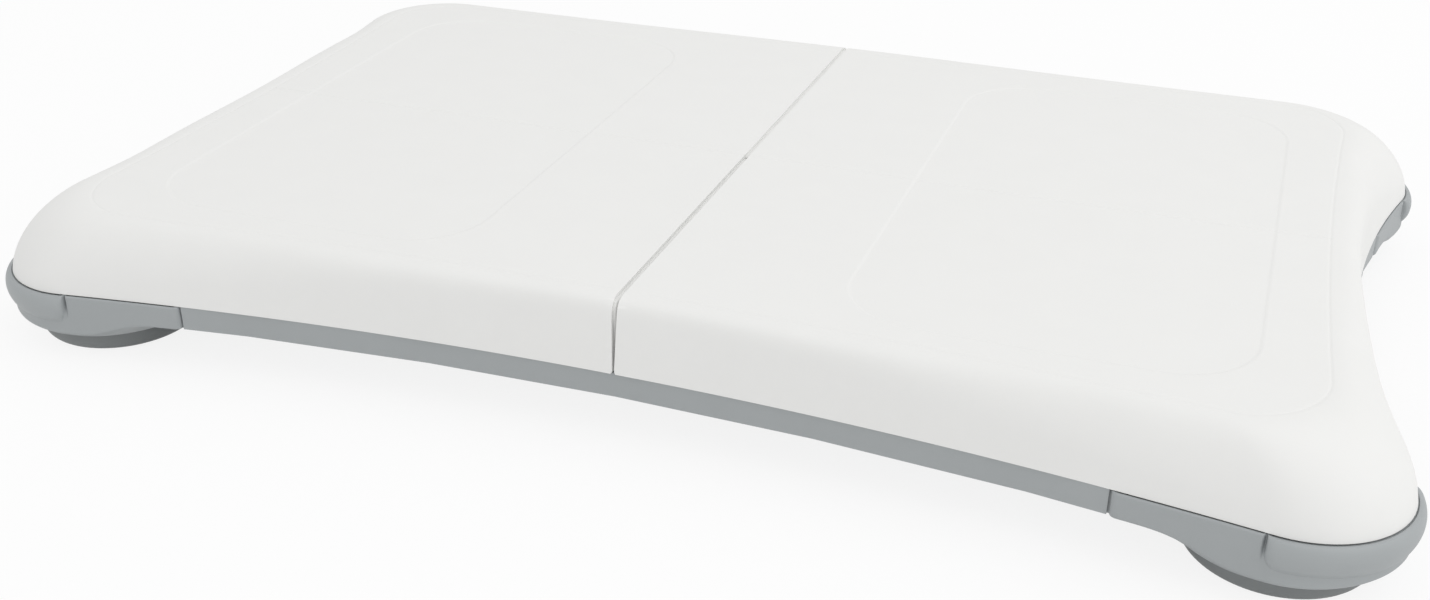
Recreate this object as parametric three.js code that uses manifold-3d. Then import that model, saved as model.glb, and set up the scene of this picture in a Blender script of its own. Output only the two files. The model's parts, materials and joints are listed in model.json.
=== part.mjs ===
// Game console balance board: a low platform on four load-sensing feet.
// Millimetres. X runs along the board, Y across it with the concave long edge on the -Y side,
// Z points up from the floor. The origin is on the floor, under the middle of the board.

import * as THREE from 'three';
import { mergeVertices } from 'three/addons/utils/BufferGeometryUtils.js';
import Module from 'manifold-3d';

const wasm = await Module();
wasm.setup();

// Whole board
const boardLength = 511;
const boardDepth = 316;
const clearance = 0.3;
const overrun = 3;
const weld = 0.5;

// The stack of sizes that makes the height, from the floor up
const baseClearance = 17.3;
const stripHeight = 9.4;
const hemZ = baseClearance + stripHeight;
const baseWall = 2.4;
const baseFloor = 2.2;
const baseFloorZ = baseClearance + baseFloor;
const cornerFloorZ = baseFloorZ + clearance;
const cornerFloorTopZ = cornerFloorZ + baseFloor;
const cellRoom = 2;
const cellHeight = 12.7;
const cellZ = cornerFloorTopZ + cellRoom;
const cellTopZ = cellZ + cellHeight;
const cellSeatHeight = 3;
const plateZ = cellTopZ + clearance + cellSeatHeight;
const plateSheet = 1.6;
const plateTopZ = plateZ + plateSheet;
const ribHeight = 8.3;
const coverWall = 3;
const boardHeight = plateTopZ + clearance + ribHeight + coverWall;

// Plan of the covers' lower edge, the hem
const bumperReach = 3.3;
const hemPlan = {
  halfLength: boardLength / 2 - bumperReach,
  halfDepth: boardDepth / 2 - bumperReach,
  radius: 36,
  nearDip: 18,
  sideDip: 17.6,
};

// Plan of the flat standing surface
const flankReachLong = 12.7;
const flankReachEnd = 27.2;
const flatPlan = {
  halfLength: hemPlan.halfLength - flankReachEnd,
  halfDepth: hemPlan.halfDepth - flankReachLong,
  radius: 36.4,
  nearDip: 18,
  sideDip: 2.1,
};
const arcSteps = { near: 6, corner: 4, turn: 1, side: 4 };
const hiddenSteps = { near: 4, corner: 2, turn: 1, side: 2 };

// Covers
const flankDraftShare = 0.23;
const shoulderDropShare = 0.85;
const shoulderLimitShare = 0.96;
const shoulderHandleShare = 0.46;
const shoulderSteps = 4;
const wallSteps = 2;
const seamWidth = 2;
const seamFootWidth = 0.8;
const lapSkin = 1.4;
const lapReach = 4;
const lapFootGap = 2.5;
const ribWall = 1.8;
const ribPitch = 66;
const firstRibX = 14;
const ribRowCount = 4;
const coverBossRadius = 4;
const padZoneInner = 68.7;
const padZoneEndMargin = 23.1;
const padZoneSideMargin = 23.8;
const padZoneOuter = flatPlan.halfLength - padZoneEndMargin;
const padZoneHalfDepth = flatPlan.halfDepth - padZoneSideMargin;
const padZoneRadius = 28;
const padZoneDepth = 0.35;
const centreLineWidth = 1;
const centreLineMargin = 5;
const centreLineReach = flatPlan.halfLength - centreLineMargin;

// Pressed load plate
const plateInset = 13.5;
const plateRimDepth = 7;
const windowPitch = 57;
const firstWindowX = 38;
const windowLength = 38;
const windowDepth = 56;
const windowRadius = 8;
const windowRowY = 45;
const windowCount = 2;
const beadWidth = 8;
const beadDepth = 2;
const beadEndInset = 62.2;
const beadEnd = hemPlan.halfLength - beadEndInset;
const studWindowRadius = 9;

// Feet
const footInsetX = 40;
const footInsetY = 38;
const footX = boardLength / 2 - footInsetX;
const footY = boardDepth / 2 - footInsetY;
const footRadius = 28.2;
const footWall = 2.2;
const footSoleRadius = 24.2;
const footSoleZ = 0.4;
const footBowlZ = 8.5;
const wellRoof = 4.9;
const wellZ = baseFloorZ - wellRoof;
const footRunGap = 1.2;
const footTopZ = wellZ - footRunGap;
const footFloorZ = 3.4;
const footFloor = 2.6;
const footHubRadius = 7;
const footBowlSteps = 2;
const footTravel = 0.5;
const footRibWall = 1.6;
const footRibCount = 4;
const padRadius = 22;
const padEdge = 0.8;

// Load cells and the studs that hang the feet from them
const cellLength = 78;
const cellWidth = 20;
const cellOverhang = 9;
const cellSeatLength = 28;
const gaugeHoleRadius = 4.3;
const gaugeHolePitch = 15;
const gaugeSlotHeight = 2.4;
const gaugeCentre = 34;
const rivetRadius = 2.2;
const rivetHeadRadius = 4;
const rivetHeadHeight = 1.2;
const rivetInset = 7;
const rivetPitch = 13;
const studRadius = 2.5;
const studHeadRadius = 5;
const studHeadHeight = 2.4;
const studGrip = 11;

// Corner legs
const legProud = 1;
const legReach = 49.5;
const legSeatInset = 5.4;
const legTopZ = hemZ - clearance;
const legRimRadius = 31.5;
const legRimDrop = 7.5;
const legRimZ = baseClearance - legRimDrop;
const legEndZ = baseClearance;
const legSweepReach = 62;
const legSweepPower = 3.5;
const legSweepSteps = 4;
const wellGap = 0.8;
const hubHoleGap = 1.2;
const bumperEndInsetX = 44;
const bumperEndInsetY = 46;
const bumperEndX = boardLength / 2 - bumperEndInsetX;
const bumperEndY = boardDepth / 2 - bumperEndInsetY;
const bumperDrop = 2.3;
const bumperFootZ = baseClearance - bumperDrop;
const bumperSteps = 4;
const bumperFullnessShare = 0.5;

// Base shell
const stripInset = 1.2;
const farY = hemPlan.halfDepth - stripInset;
const lipInset = 4.2;
const lipWall = 1.8;
const lipShelf = 2.4;
const lipRise = 3.3;
const lipTopZ = hemZ + lipRise;
const baseScrewX = 123.5;
const baseScrewFootGap = 75;
const baseScrewY = footY - baseScrewFootGap;
const baseBossRadius = 5.4;

// Screws
const screwRadius = 1.5;
const screwHeadRadius = 3.1;
const screwHeadHeight = 1.8;
const screwHoleRadius = screwRadius + clearance;
const legScrewOffset = 30.5;
const legScrewHead = 1.3;
const legScrewFloor = 2;
const baseScrewDepth = 1.5;
const legBossRadius = 4;
const legBossHeight = 7;
const coverScrewX = 66.5;
const coverScrewY = 85;
const coverScrewSkin = 1.3;
const coverScrewReach = ribHeight - coverScrewSkin;

// Battery bay, its door and the cells in it
const batteryRadius = 7.1;
const batteryLength = 50.5;
const batteryNub = 1.3;
const batteryNubRadius = 2.7;
const batteryPitch = 15.2;
const batteryCount = 4;
const contactRoom = 3.25;
const contactSheet = 0.5;
const contactHeight = 11;
const contactSide = 5;
const contactBumpRadius = 3;
const contactSpringRadius = 4.4;
const contactTabReach = 4.2;
const contactTabWidth = 3;
const contactTabSheet = 0.8;
const bayWall = 1.8;
const bayRoomY = batteryPitch * batteryCount + 2 * clearance;
const bayRoomX = batteryLength + 2 * contactRoom;
const saddleX = 14;
const saddleWall = 1.6;
const doorSheet = 2;
const batteryPlay = 0.2;
const batteryZ = baseClearance + doorSheet + clearance + batteryRadius + batteryPlay;
const bayRoofGap = 1.5;
const bayRoofZ = batteryZ + batteryRadius + bayRoofGap;
const mainGap = 1.2;
const mainDepth = 60.6;
const mainEndInset = 10.5;
const mainEndY = farY - mainEndInset;
const mainY = mainEndY - mainDepth;
const bayEndY = mainY - mainGap - bayWall;
const bayY = bayEndY - bayRoomY;
const doorMargin = 4.5;
const ledgeHeight = 1.8;
const doorTabX = 18;
const doorTabWidth = 10;
const doorTabReach = 2.2;
const doorTabSheet = 0.9;
const tabSlotRoom = 1.1;
const doorLipSheet = 0.8;
const latchWidth = 16;
const latchDepth = 12;
const latchSlot = 1.2;
const latchDent = 0.8;
const nicheHalf = 7;
const nicheDepth = 8;
const nicheHeight = 6.7;
const nicheRoofZ = baseClearance + nicheHeight;
const nicheRoof = 1.4;
const nicheY = bayEndY + bayWall;
const doorHalfX = bayRoomX / 2 + doorMargin;
const doorY = bayY - doorMargin;
const doorEndY = nicheY + nicheDepth + doorMargin;

// Circuit boards
const boardSheet = 1.6;
const mainHalfX = 45;
const postHeight = 11.5;
const mainZ = baseFloorZ + postHeight;
const postRadius = 3;
const postPinRadius = 1.3;
const postMargin = 7;
const postX = mainHalfX - postMargin;
const postInset = 8;
const headerDepth = 7;
const headerDrop = 4.2;
const headerMargin = 3.5;
const headerInset = { minus: 4.5, plus: 9.5, near: 17, far: 26 };
const headerY = {
  minus: mainY + headerInset.minus,
  plus: mainY + headerInset.plus,
  near: mainY + headerInset.near,
  far: mainY + headerInset.far,
};
const chipHeight = 1.4;
const chipSize = 12;
const smallChipShare = 0.6;
const radioLength = 26;
const radioDepth = 18;
const radioHeight = 3;
const radioInset = 8;
const uprightHalfX = 14;
const uprightInset = 12;
const uprightY = farY - uprightInset;
const uprightRail = 4;
const ledReach = 2.4;
const ledWidth = 3;

// Power button in the straight far edge, with its light guide and switch
const buttonHalfX = 10;
const buttonHeight = 4.6;
const buttonLift = 4.8;
const buttonZ = baseClearance + buttonLift;
const buttonProud = 0.8;
const buttonTravel = 0.5;
const buttonFlange = 2.5;
const buttonFlangeSheet = 1.4;
const buttonStemX = 7;
const buttonStemWidth = 3;
const guideHalfX = 3.5;
const guideHeight = 2;
const switchWidth = 6;
const switchDepth = 2.6;
const switchHeight = 3.4;
const plungerRadius = 1.2;
const plungerReach = 0.6;

// Sync button in the niche beside the battery bay
const syncRadius = 2.6;
const syncFlangeRadius = 3.6;
const syncFlange = 0.9;
const syncInset = 2.4;
const syncTipZ = nicheRoofZ - syncInset;
const syncTravel = 0.5;
const syncSwitchWidth = 5.4;

// Internal leads
const sensorLeadRadius = 1.1;
const batteryLeadRadius = 0.9;
const leadLift = 0.9;
const leadSides = 5;
// Bends of the leads, hand-laid, as steps from where each stretch starts or ends
const leadBends = {
  gauge: [[0, 0, 0], [0, -5, -1], [-1, -11, -5]],
  rearCorner: [[-12.5, -10.7, 0], [-30.5, -6.7, 0]],
  rearFloor: [[-44.5, 0, 0]],
  rearBoard: [[54.7, 0, 0], [20.7, 0, 0]],
  frontCorner: [[-12.5, -14.7, 0], [-30.5, -17.7, 0]],
  frontFloor: [[-44.5, -21.7, 0], [-66.5, -33.7, 0], [-86.5, -53.7, 0]],
  frontMiddle: [[50.7, 0, 0]],
  frontBoard: [[44.7, 39.4, 0], [34.7, 9.4, 0], [20.7, 0, 0]],
  header: [[11.7, 0, -3], [5.7, 0, 0], [0, 0, 0]],
  plusTab: [[0, 0, 0], [-4, 0, -1], [-12.3, 8.1, -4.9]],
  plusFloor: [[-8.7, 30.1, 0], [-11.7, 54.1, 1]],
  plusHeader: [[-9.7, -3, -3], [-5.7, 0, 0], [0, 0, 0]],
  minusTab: [[0, 0, 0], [-4, 1, 0]],
  minusRise: [[-1.7, 6.5, -1]],
  minusHeader: [[-8.7, -4, 0], [-6.2, 0, 0], [0, 0, 0]],
};

// Finishes
const finishes = {
  cover: { color: 0xeeeeec, roughness: 0.55, metalness: 0 },
  grey: { color: 0x969ea1, roughness: 0.6, metalness: 0 },
  foot: { color: 0x787e7e, roughness: 0.65, metalness: 0 },
  rubber: { color: 0x4d5152, roughness: 0.9, metalness: 0 },
  steel: { color: 0xb4b8ba, roughness: 0.35, metalness: 1 },
  aluminium: { color: 0xc9ccce, roughness: 0.4, metalness: 1 },
  circuit: { color: 0x1f6b46, roughness: 0.5, metalness: 0 },
  blackPlastic: { color: 0x222426, roughness: 0.5, metalness: 0 },
  battery: { color: 0x3b4a63, roughness: 0.35, metalness: 0.4 },
  red: { color: 0xc22a24, roughness: 0.45, metalness: 0 },
  guide: { color: 0x9fc8f2, roughness: 0.15, metalness: 0 },
  lead: { color: 0x3a3d40, roughness: 0.7, metalness: 0 },
};

const board = new THREE.Group();

// The four corners of the board: name, side along X, side along Y
const corners = [
  { name: 'front_left', sx: -1, sy: -1 },
  { name: 'front_right', sx: 1, sy: -1 },
  { name: 'rear_left', sx: -1, sy: 1 },
  { name: 'rear_right', sx: 1, sy: 1 },
];

// Solids

// A closed surface from a geometry: shared corners merged, faces turned outwards.
function solid(geometry) {
  const bare = new THREE.BufferGeometry();
  bare.setAttribute('position', geometry.getAttribute('position'));
  if (geometry.index) bare.setIndex(geometry.index);
  const merged = mergeVertices(bare);
  const vertices = merged.getAttribute('position').array;
  const source = merged.index.array;
  const faces = [];
  let volume = 0;
  for (let i = 0; i < source.length; i += 3) {
    const [a, b, c] = [source[i], source[i + 1], source[i + 2]];
    if (a === b || b === c || c === a) continue;
    faces.push(a, b, c);
    const p = new THREE.Vector3().fromArray(vertices, a * 3);
    const q = new THREE.Vector3().fromArray(vertices, b * 3);
    const r = new THREE.Vector3().fromArray(vertices, c * 3);
    volume += p.dot(q.cross(r));
  }
  if (volume < 0) faces.reverse();
  return new wasm.Manifold(new wasm.Mesh({
    numProp: 3,
    vertProperties: new Float32Array(vertices),
    triVerts: new Uint32Array(faces),
  }));
}

function join(...parts) {
  return parts.reduce((whole, part) => whole.add(part));
}

function cut(body, ...tools) {
  return tools.reduce((rest, tool) => rest.subtract(tool), body);
}

function common(first, ...others) {
  return others.reduce((shared, other) => shared.intersect(other), first);
}

// Puts a finished solid on the board as a named mesh.
function place(name, body, finish) {
  const mesh = body.getMesh();
  const geometry = new THREE.BufferGeometry();
  geometry.setAttribute('position', new THREE.BufferAttribute(new Float32Array(mesh.vertProperties), 3));
  geometry.setIndex(new THREE.BufferAttribute(new Uint32Array(mesh.triVerts), 1));
  geometry.computeVertexNormals();
  const node = new THREE.Mesh(geometry, new THREE.MeshStandardMaterial(finish));
  node.name = name;
  board.add(node);
}

// A box between two corners, given in either order along each axis.
function block(x0, x1, y0, y1, z0, z1) {
  const geometry = new THREE.BoxGeometry(Math.abs(x1 - x0), Math.abs(y1 - y0), Math.abs(z1 - z0));
  geometry.translate((x0 + x1) / 2, (y0 + y1) / 2, (z0 + z1) / 2);
  return solid(geometry);
}

// A shape in plan, raised from one height to another.
function prism(shape, z0, z1, curveSegments = 2) {
  const geometry = new THREE.ExtrudeGeometry(shape, { depth: z1 - z0, bevelEnabled: false, curveSegments });
  geometry.translate(0, 0, z0);
  return solid(geometry);
}

// An upright round rod.
function rod(x, y, z0, z1, radius, sides = 8) {
  const geometry = new THREE.CylinderGeometry(radius, radius, z1 - z0, sides);
  geometry.rotateX(Math.PI / 2);
  geometry.translate(x, y, (z0 + z1) / 2);
  return solid(geometry);
}

// A round rod lying along X, or a cone where its two radii differ.
function axle(x0, x1, y, z, radius, endRadius = radius, sides = 8) {
  const geometry = new THREE.CylinderGeometry(endRadius, radius, x1 - x0, sides);
  geometry.rotateZ(-Math.PI / 2);
  geometry.translate((x0 + x1) / 2, y, z);
  return solid(geometry);
}

// A profile of [radius, height] pairs turned about an upright axis.
function turned(profile, x, y, sides) {
  const points = profile.map(([radius, height]) => new THREE.Vector2(radius, height));
  const geometry = new THREE.LatheGeometry(points, sides);
  geometry.rotateX(Math.PI / 2);
  geometry.translate(x, y, 0);
  return solid(geometry);
}

// Rows of points that follow each other round a form, closed by a cap on the first and last row.
function loft(rows) {
  const count = rows[0].length;
  const positions = rows.flat().flatMap((point) => [point.x, point.y, point.z]);
  const index = [];
  for (let r = 0; r + 1 < rows.length; r += 1) {
    for (let i = 0; i < count; i += 1) {
      const j = (i + 1) % count;
      const [a, b, c, d] = [r * count + i, r * count + j, (r + 1) * count + i, (r + 1) * count + j];
      index.push(a, b, d, a, d, c);
    }
  }
  const last = (rows.length - 1) * count;
  for (const [a, b, c] of THREE.ShapeUtils.triangulateShape(rows[0], [])) index.push(c, b, a);
  for (const [a, b, c] of THREE.ShapeUtils.triangulateShape(rows.at(-1), [])) {
    index.push(last + a, last + b, last + c);
  }
  return solid(indexed(positions, index));
}

// A section loop of [reach, height] pairs carried all round the board's plan.
function ring(plan, section) {
  const rows = section.map(([reach, z]) => raised(boardOutline(plan, -reach), z));
  const count = rows[0].length;
  const positions = rows.flat().flatMap((point) => [point.x, point.y, point.z]);
  const index = [];
  for (let r = 0; r < rows.length; r += 1) {
    const next = (r + 1) % rows.length;
    for (let i = 0; i < count; i += 1) {
      const j = (i + 1) % count;
      const [a, b, c, d] = [r * count + i, r * count + j, next * count + i, next * count + j];
      index.push(a, b, d, a, d, c);
    }
  }
  return solid(indexed(positions, index));
}

function indexed(positions, index) {
  const geometry = new THREE.BufferGeometry();
  geometry.setAttribute('position', new THREE.Float32BufferAttribute(positions, 3));
  geometry.setIndex(index);
  return geometry;
}

// Plans

function arcPoints(cx, cy, radius, from, to, steps) {
  return Array.from({ length: steps }, (_, k) => {
    const angle = from + ((to - from) * k) / steps;
    return new THREE.Vector2(cx + radius * Math.cos(angle), cy + radius * Math.sin(angle));
  });
}

// The radius of the hollow arc that runs between two corner arcs and touches both.
function hollowRadius(cornerCentre, radius, dip) {
  const middle = radius - dip;
  return (cornerCentre ** 2 + middle ** 2 - radius ** 2) / (2 * dip);
}

// The board in plan: round corners, hollow near and short sides, straight far side.
// Starts at the near left corner and runs anticlockwise; inset moves every side inwards.
function boardOutline(plan, inset, steps = arcSteps) {
  const radius = plan.radius - inset;
  const halfLength = plan.halfLength - inset;
  const halfDepth = plan.halfDepth - inset;
  const cx = halfLength - radius;
  const cy = halfDepth - radius;
  const nearRadius = hollowRadius(cx, radius, plan.nearDip);
  const sideRadius = hollowRadius(cy, radius, plan.sideDip);
  const nearAngle = Math.asin(cx / (nearRadius + radius));
  const sideAngle = Math.asin(cy / (sideRadius + radius));
  const nearY = -halfDepth + plan.nearDip - nearRadius;
  const sideX = halfLength - plan.sideDip + sideRadius;
  const quarter = Math.PI / 2;
  const { near, corner, turn, side } = steps;
  return [
    ...arcPoints(0, nearY, nearRadius, quarter + nearAngle, quarter - nearAngle, near),
    ...arcPoints(cx, -cy, radius, -quarter - nearAngle, -quarter, turn),
    ...arcPoints(cx, -cy, radius, -quarter, 0, corner),
    ...arcPoints(cx, -cy, radius, 0, sideAngle, turn),
    ...arcPoints(sideX, 0, sideRadius, Math.PI + sideAngle, Math.PI - sideAngle, side),
    ...arcPoints(cx, cy, radius, -sideAngle, 0, turn),
    ...arcPoints(cx, cy, radius, 0, quarter, corner),
    new THREE.Vector2(cx, halfDepth),
    ...arcPoints(-cx, cy, radius, quarter, Math.PI, corner),
    ...arcPoints(-cx, cy, radius, Math.PI, Math.PI + sideAngle, turn),
    ...arcPoints(-sideX, 0, sideRadius, sideAngle, -sideAngle, side),
    ...arcPoints(-cx, -cy, radius, Math.PI - sideAngle, Math.PI, turn),
    ...arcPoints(-cx, -cy, radius, Math.PI, 3 * quarter, corner),
    ...arcPoints(-cx, -cy, radius, 3 * quarter, 3 * quarter + nearAngle, turn),
  ];
}

function raised(outline, z) {
  return outline.map((point) => new THREE.Vector3(point.x, point.y, z));
}

function boardPrism(plan, inset, z0, z1, steps = arcSteps) {
  return prism(new THREE.Shape(boardOutline(plan, inset, steps)), z0, z1);
}

function roundedRectangle(x0, x1, y0, y1, radius) {
  const shape = new THREE.Shape();
  shape.moveTo(x0 + radius, y0);
  shape.lineTo(x1 - radius, y0);
  shape.absarc(x1 - radius, y0 + radius, radius, -Math.PI / 2, 0);
  shape.absarc(x1 - radius, y1 - radius, radius, 0, Math.PI / 2);
  shape.absarc(x0 + radius, y1 - radius, radius, Math.PI / 2, Math.PI);
  shape.absarc(x0 + radius, y0 + radius, radius, Math.PI, 1.5 * Math.PI);
  return shape;
}

// The plan of one corner leg: square ends on both sides, and a round inner corner about the foot.
function legZone({ sx, sy }, grow, z0, z1) {
  const reach = legReach + grow;
  const far = boardLength;
  const inner = arcPoints(footX, footY, reach, Math.PI, 1.5 * Math.PI, arcSteps.corner);
  const points = [
    new THREE.Vector2(footX - reach, far),
    ...inner,
    new THREE.Vector2(footX, footY - reach),
    new THREE.Vector2(far, footY - reach),
    new THREE.Vector2(far, far),
  ];
  return prism(new THREE.Shape(points.map((point) => new THREE.Vector2(sx * point.x, sy * point.y))), z0, z1);
}

// Covers

// One point of the cover's shoulder, as its distance out from the flat and down from the top.
function shoulderPoint(reach, fall, share) {
  const drop = Math.min(shoulderDropShare * reach, shoulderLimitShare * fall);
  const run = reach - flankDraftShare * (fall - drop);
  const handle = shoulderHandleShare * drop;
  const curve = new THREE.CubicBezierCurve(
    new THREE.Vector2(0, 0),
    new THREE.Vector2(shoulderHandleShare * run, 0),
    new THREE.Vector2(run - flankDraftShare * handle, drop - handle),
    new THREE.Vector2(run, drop),
  );
  return curve.getPoint(share);
}

// The covers' closed outer form, or the same form with every wall moved inwards by an inset.
// It is lofted from the hem up the flared flank and over the shoulder to the flat top.
function coverForm(inset, footZ = hemZ, steps = shoulderSteps) {
  const flat = boardOutline(flatPlan, 0);
  const hem = boardOutline(hemPlan, inset);
  const topZ = boardHeight - inset;
  const rows = footZ < hemZ ? [raised(hem, footZ)] : [];
  rows.push(raised(hem, hemZ));
  for (let k = steps; k >= 0; k -= 1) {
    rows.push(flat.map((point, i) => {
      const reach = point.distanceTo(hem[i]);
      const across = shoulderPoint(reach, topZ - hemZ, k / steps);
      const spot = point.clone().lerp(hem[i], across.x / reach);
      return new THREE.Vector3(spot.x, spot.y, topZ - across.y);
    }));
  }
  return loft(rows);
}

// Half of the gap between the covers, seen along Y: parallel on top and narrower down the flank.
function seamHalf(side) {
  const kneeZ = boardHeight - coverWall;
  const shape = new THREE.Shape([
    new THREE.Vector2(side * (seamFootWidth / 2), hemZ),
    new THREE.Vector2(side * (seamWidth / 2), kneeZ),
    new THREE.Vector2(side * (seamWidth / 2), boardHeight + overrun),
    new THREE.Vector2(side * boardLength, boardHeight + overrun),
    new THREE.Vector2(side * boardLength, hemZ - 2 * overrun),
    new THREE.Vector2(side * (seamFootWidth / 2), hemZ - 2 * overrun),
  ]);
  const geometry = new THREE.ExtrudeGeometry(shape, { depth: boardDepth, bevelEnabled: false });
  geometry.rotateX(Math.PI / 2);
  geometry.translate(0, boardDepth / 2, 0);
  return solid(geometry);
}

function coverRibs(side) {
  const ribZ = plateTopZ + clearance;
  const ceiling = boardHeight - coverWall + weld;
  const ribs = [];
  for (let x = firstRibX; x < flatPlan.halfLength; x += ribPitch) {
    ribs.push(block(side * x, side * (x + ribWall), -boardDepth / 2, boardDepth / 2, ribZ, ceiling));
  }
  for (let row = 0; row < ribRowCount; row += 1) {
    const y = (row - (ribRowCount - 1) / 2) * ribPitch;
    ribs.push(block(side * firstRibX, side * boardLength, y - ribWall / 2, y + ribWall / 2, ribZ, ceiling));
  }
  for (const sy of [-1, 1]) {
    ribs.push(rod(side * coverScrewX, sy * coverScrewY, ribZ, ceiling, coverBossRadius));
  }
  return ribs;
}

function addCovers() {
  const outer = coverForm(0);
  const inner = coverForm(coverWall, hemZ - overrun, wallSteps);
  const shell = cut(outer, inner);
  const skinUnder = coverForm(lapSkin, hemZ - overrun, wallSteps);
  const tongueForm = cut(coverForm(lapSkin + clearance, hemZ - overrun, wallSteps), inner);
  const ribRoom = coverForm(coverWall - weld, hemZ - overrun, wallSteps);
  const zoneZ = boardHeight - padZoneDepth;
  for (const [name, side] of [['top_cover_left', -1], ['top_cover_right', 1]]) {
    const half = seamHalf(side);
    // The left cover carries the tongue on the near half and the right cover on the far half.
    const tongueY = side * (boardDepth / 2);
    const tongue = common(tongueForm, block(side * -lapReach, side * seamWidth,
      side * clearance, tongueY, hemZ + lapFootGap, boardHeight));
    const rebate = common(skinUnder, block(0, side * (lapReach + clearance),
      0, -tongueY, hemZ - overrun, boardHeight));
    const ribs = common(join(...coverRibs(side)), ribRoom, half);
    let cover = join(cut(common(shell, half), rebate), tongue, ribs);
    for (const sy of [-1, 1]) {
      const bore = rod(side * coverScrewX, sy * coverScrewY, plateZ, plateTopZ + coverScrewReach,
        screwHoleRadius);
      cover = cut(cover, bore);
    }
    const zone = roundedRectangle(padZoneInner, padZoneOuter, -padZoneHalfDepth, padZoneHalfDepth,
      padZoneRadius);
    const zoneCut = side > 0 ? prism(zone, zoneZ, boardHeight + overrun)
      : prism(mirrored(zone), zoneZ, boardHeight + overrun);
    const centreLine = block(0, side * centreLineReach, -centreLineWidth / 2, centreLineWidth / 2,
      zoneZ, boardHeight + overrun);
    cover = cut(cover, zoneCut, centreLine);
    place(name, cover, finishes.cover);
  }
}

function mirrored(shape) {
  return new THREE.Shape(shape.getPoints(2).map((point) => new THREE.Vector2(-point.x, point.y)));
}

// Load plate

// A downward bead pressed into the plate: a hollow on top and a ridge below.
function bead(x0, x1, y0, y1) {
  const half = beadWidth / 2;
  const ridge = roundedRectangle(x0 - half, x1 + half, y0 - half, y1 + half, half - weld);
  const hollow = roundedRectangle(x0 - half + plateSheet, x1 + half - plateSheet,
    y0 - half + plateSheet, y1 + half - plateSheet, half - plateSheet - weld);
  return {
    ridge: prism(ridge, plateZ - beadDepth, plateTopZ, 1),
    hollow: prism(hollow, plateTopZ - beadDepth, plateTopZ + overrun, 1),
  };
}

function rivetPlaces() {
  const inner = footX + cellOverhang - cellLength + rivetInset;
  return [inner, inner + rivetPitch];
}

function addLoadPlate() {
  const sheet = boardPrism(hemPlan, plateInset, plateZ, plateTopZ, hiddenSteps);
  const rim = cut(
    boardPrism(hemPlan, plateInset, plateZ - plateRimDepth, plateZ + weld, hiddenSteps),
    boardPrism(hemPlan, plateInset + plateSheet, plateZ - plateRimDepth - overrun, plateTopZ, hiddenSteps),
  );
  let plate = join(sheet, rim);
  const { ridge, hollow } = bead(-beadEnd, beadEnd, 0, 0);
  plate = cut(join(plate, ridge), hollow);
  for (const { sx, sy } of corners) {
    for (let k = 0; k < windowCount; k += 1) {
      const x = sx * (firstWindowX + k * windowPitch);
      const y = sy * windowRowY;
      const shape = roundedRectangle(x - windowLength / 2, x + windowLength / 2,
        y - windowDepth / 2, y + windowDepth / 2, windowRadius);
      plate = cut(plate, prism(shape, plateZ - overrun, plateTopZ + overrun, 1));
    }
    const seatEnd = footX + cellOverhang - cellLength;
    const seat = block(sx * seatEnd, sx * (seatEnd + cellSeatLength), sy * footY - cellWidth / 2,
      sy * footY + cellWidth / 2, plateZ - cellSeatHeight, plateZ + weld);
    const rivets = rivetPlaces().map((x) => join(
      rod(sx * x, sy * footY, cellZ - clearance - weld, plateZ, rivetRadius, 6),
      rod(sx * x, sy * footY, cellZ - clearance - rivetHeadHeight, cellZ - clearance, rivetHeadRadius, 6),
    ));
    plate = join(plate, seat, ...rivets);
    plate = cut(
      plate,
      rod(sx * footX, sy * footY, plateZ - overrun, plateTopZ + overrun, studWindowRadius),
      rod(sx * baseScrewX, sy * baseScrewY, plateZ - overrun, plateTopZ + overrun, screwHoleRadius),
      rod(sx * coverScrewX, sy * coverScrewY, plateZ - overrun, plateTopZ + overrun, screwHoleRadius),
    );
  }
  place('load_plate', plate, finishes.steel);
}

// Load cells

// A bending beam with two round gauge holes joined by a slot, seen from its side.
function cellShape() {
  const shape = new THREE.Shape([new THREE.Vector2(0, 0), new THREE.Vector2(cellLength, 0),
    new THREE.Vector2(cellLength, cellHeight), new THREE.Vector2(0, cellHeight)]);
  const middle = cellHeight / 2;
  const half = gaugeSlotHeight / 2;
  const turn = Math.asin(half / gaugeHoleRadius);
  const left = cellLength - gaugeCentre - gaugeHolePitch / 2;
  const hole = new THREE.Path();
  hole.absarc(left, middle, gaugeHoleRadius, turn, 2 * Math.PI - turn);
  hole.absarc(left + gaugeHolePitch, middle, gaugeHoleRadius, Math.PI + turn, 3 * Math.PI - turn);
  hole.closePath();
  shape.holes.push(hole);
  return shape;
}

function addLoadCells() {
  for (const corner of corners) {
    const { name, sx, sy } = corner;
    const geometry = new THREE.ExtrudeGeometry(cellShape(), {
      depth: cellWidth, bevelEnabled: false, curveSegments: 3,
    });
    geometry.rotateX(Math.PI / 2);
    const innerX = footX + cellOverhang - cellLength;
    geometry.translate(innerX, cellWidth / 2, cellZ);
    if (sx < 0) geometry.rotateZ(Math.PI);
    geometry.translate(0, sy * footY, 0);
    const holes = rivetPlaces().map((x) => rod(sx * x, sy * footY, cellZ - overrun, cellTopZ + overrun,
      rivetRadius + clearance, 6));
    holes.push(rod(sx * footX, sy * footY, cellZ - overrun, cellTopZ + overrun, studRadius + clearance));
    place(`load_cell_${name}`, cut(solid(geometry), ...holes), finishes.aluminium);
    const hubTopZ = cellZ - footTravel - clearance;
    place(`foot_stud_${name}`, turned([
      [0, hubTopZ - studGrip],
      [studRadius, hubTopZ - studGrip],
      [studRadius, cellTopZ + clearance],
      [studHeadRadius, cellTopZ + clearance],
      [studHeadRadius, cellTopZ + clearance + studHeadHeight],
      [0, cellTopZ + clearance + studHeadHeight],
    ], sx * footX, sy * footY, 6), finishes.steel);
  }
}

// Feet

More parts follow.
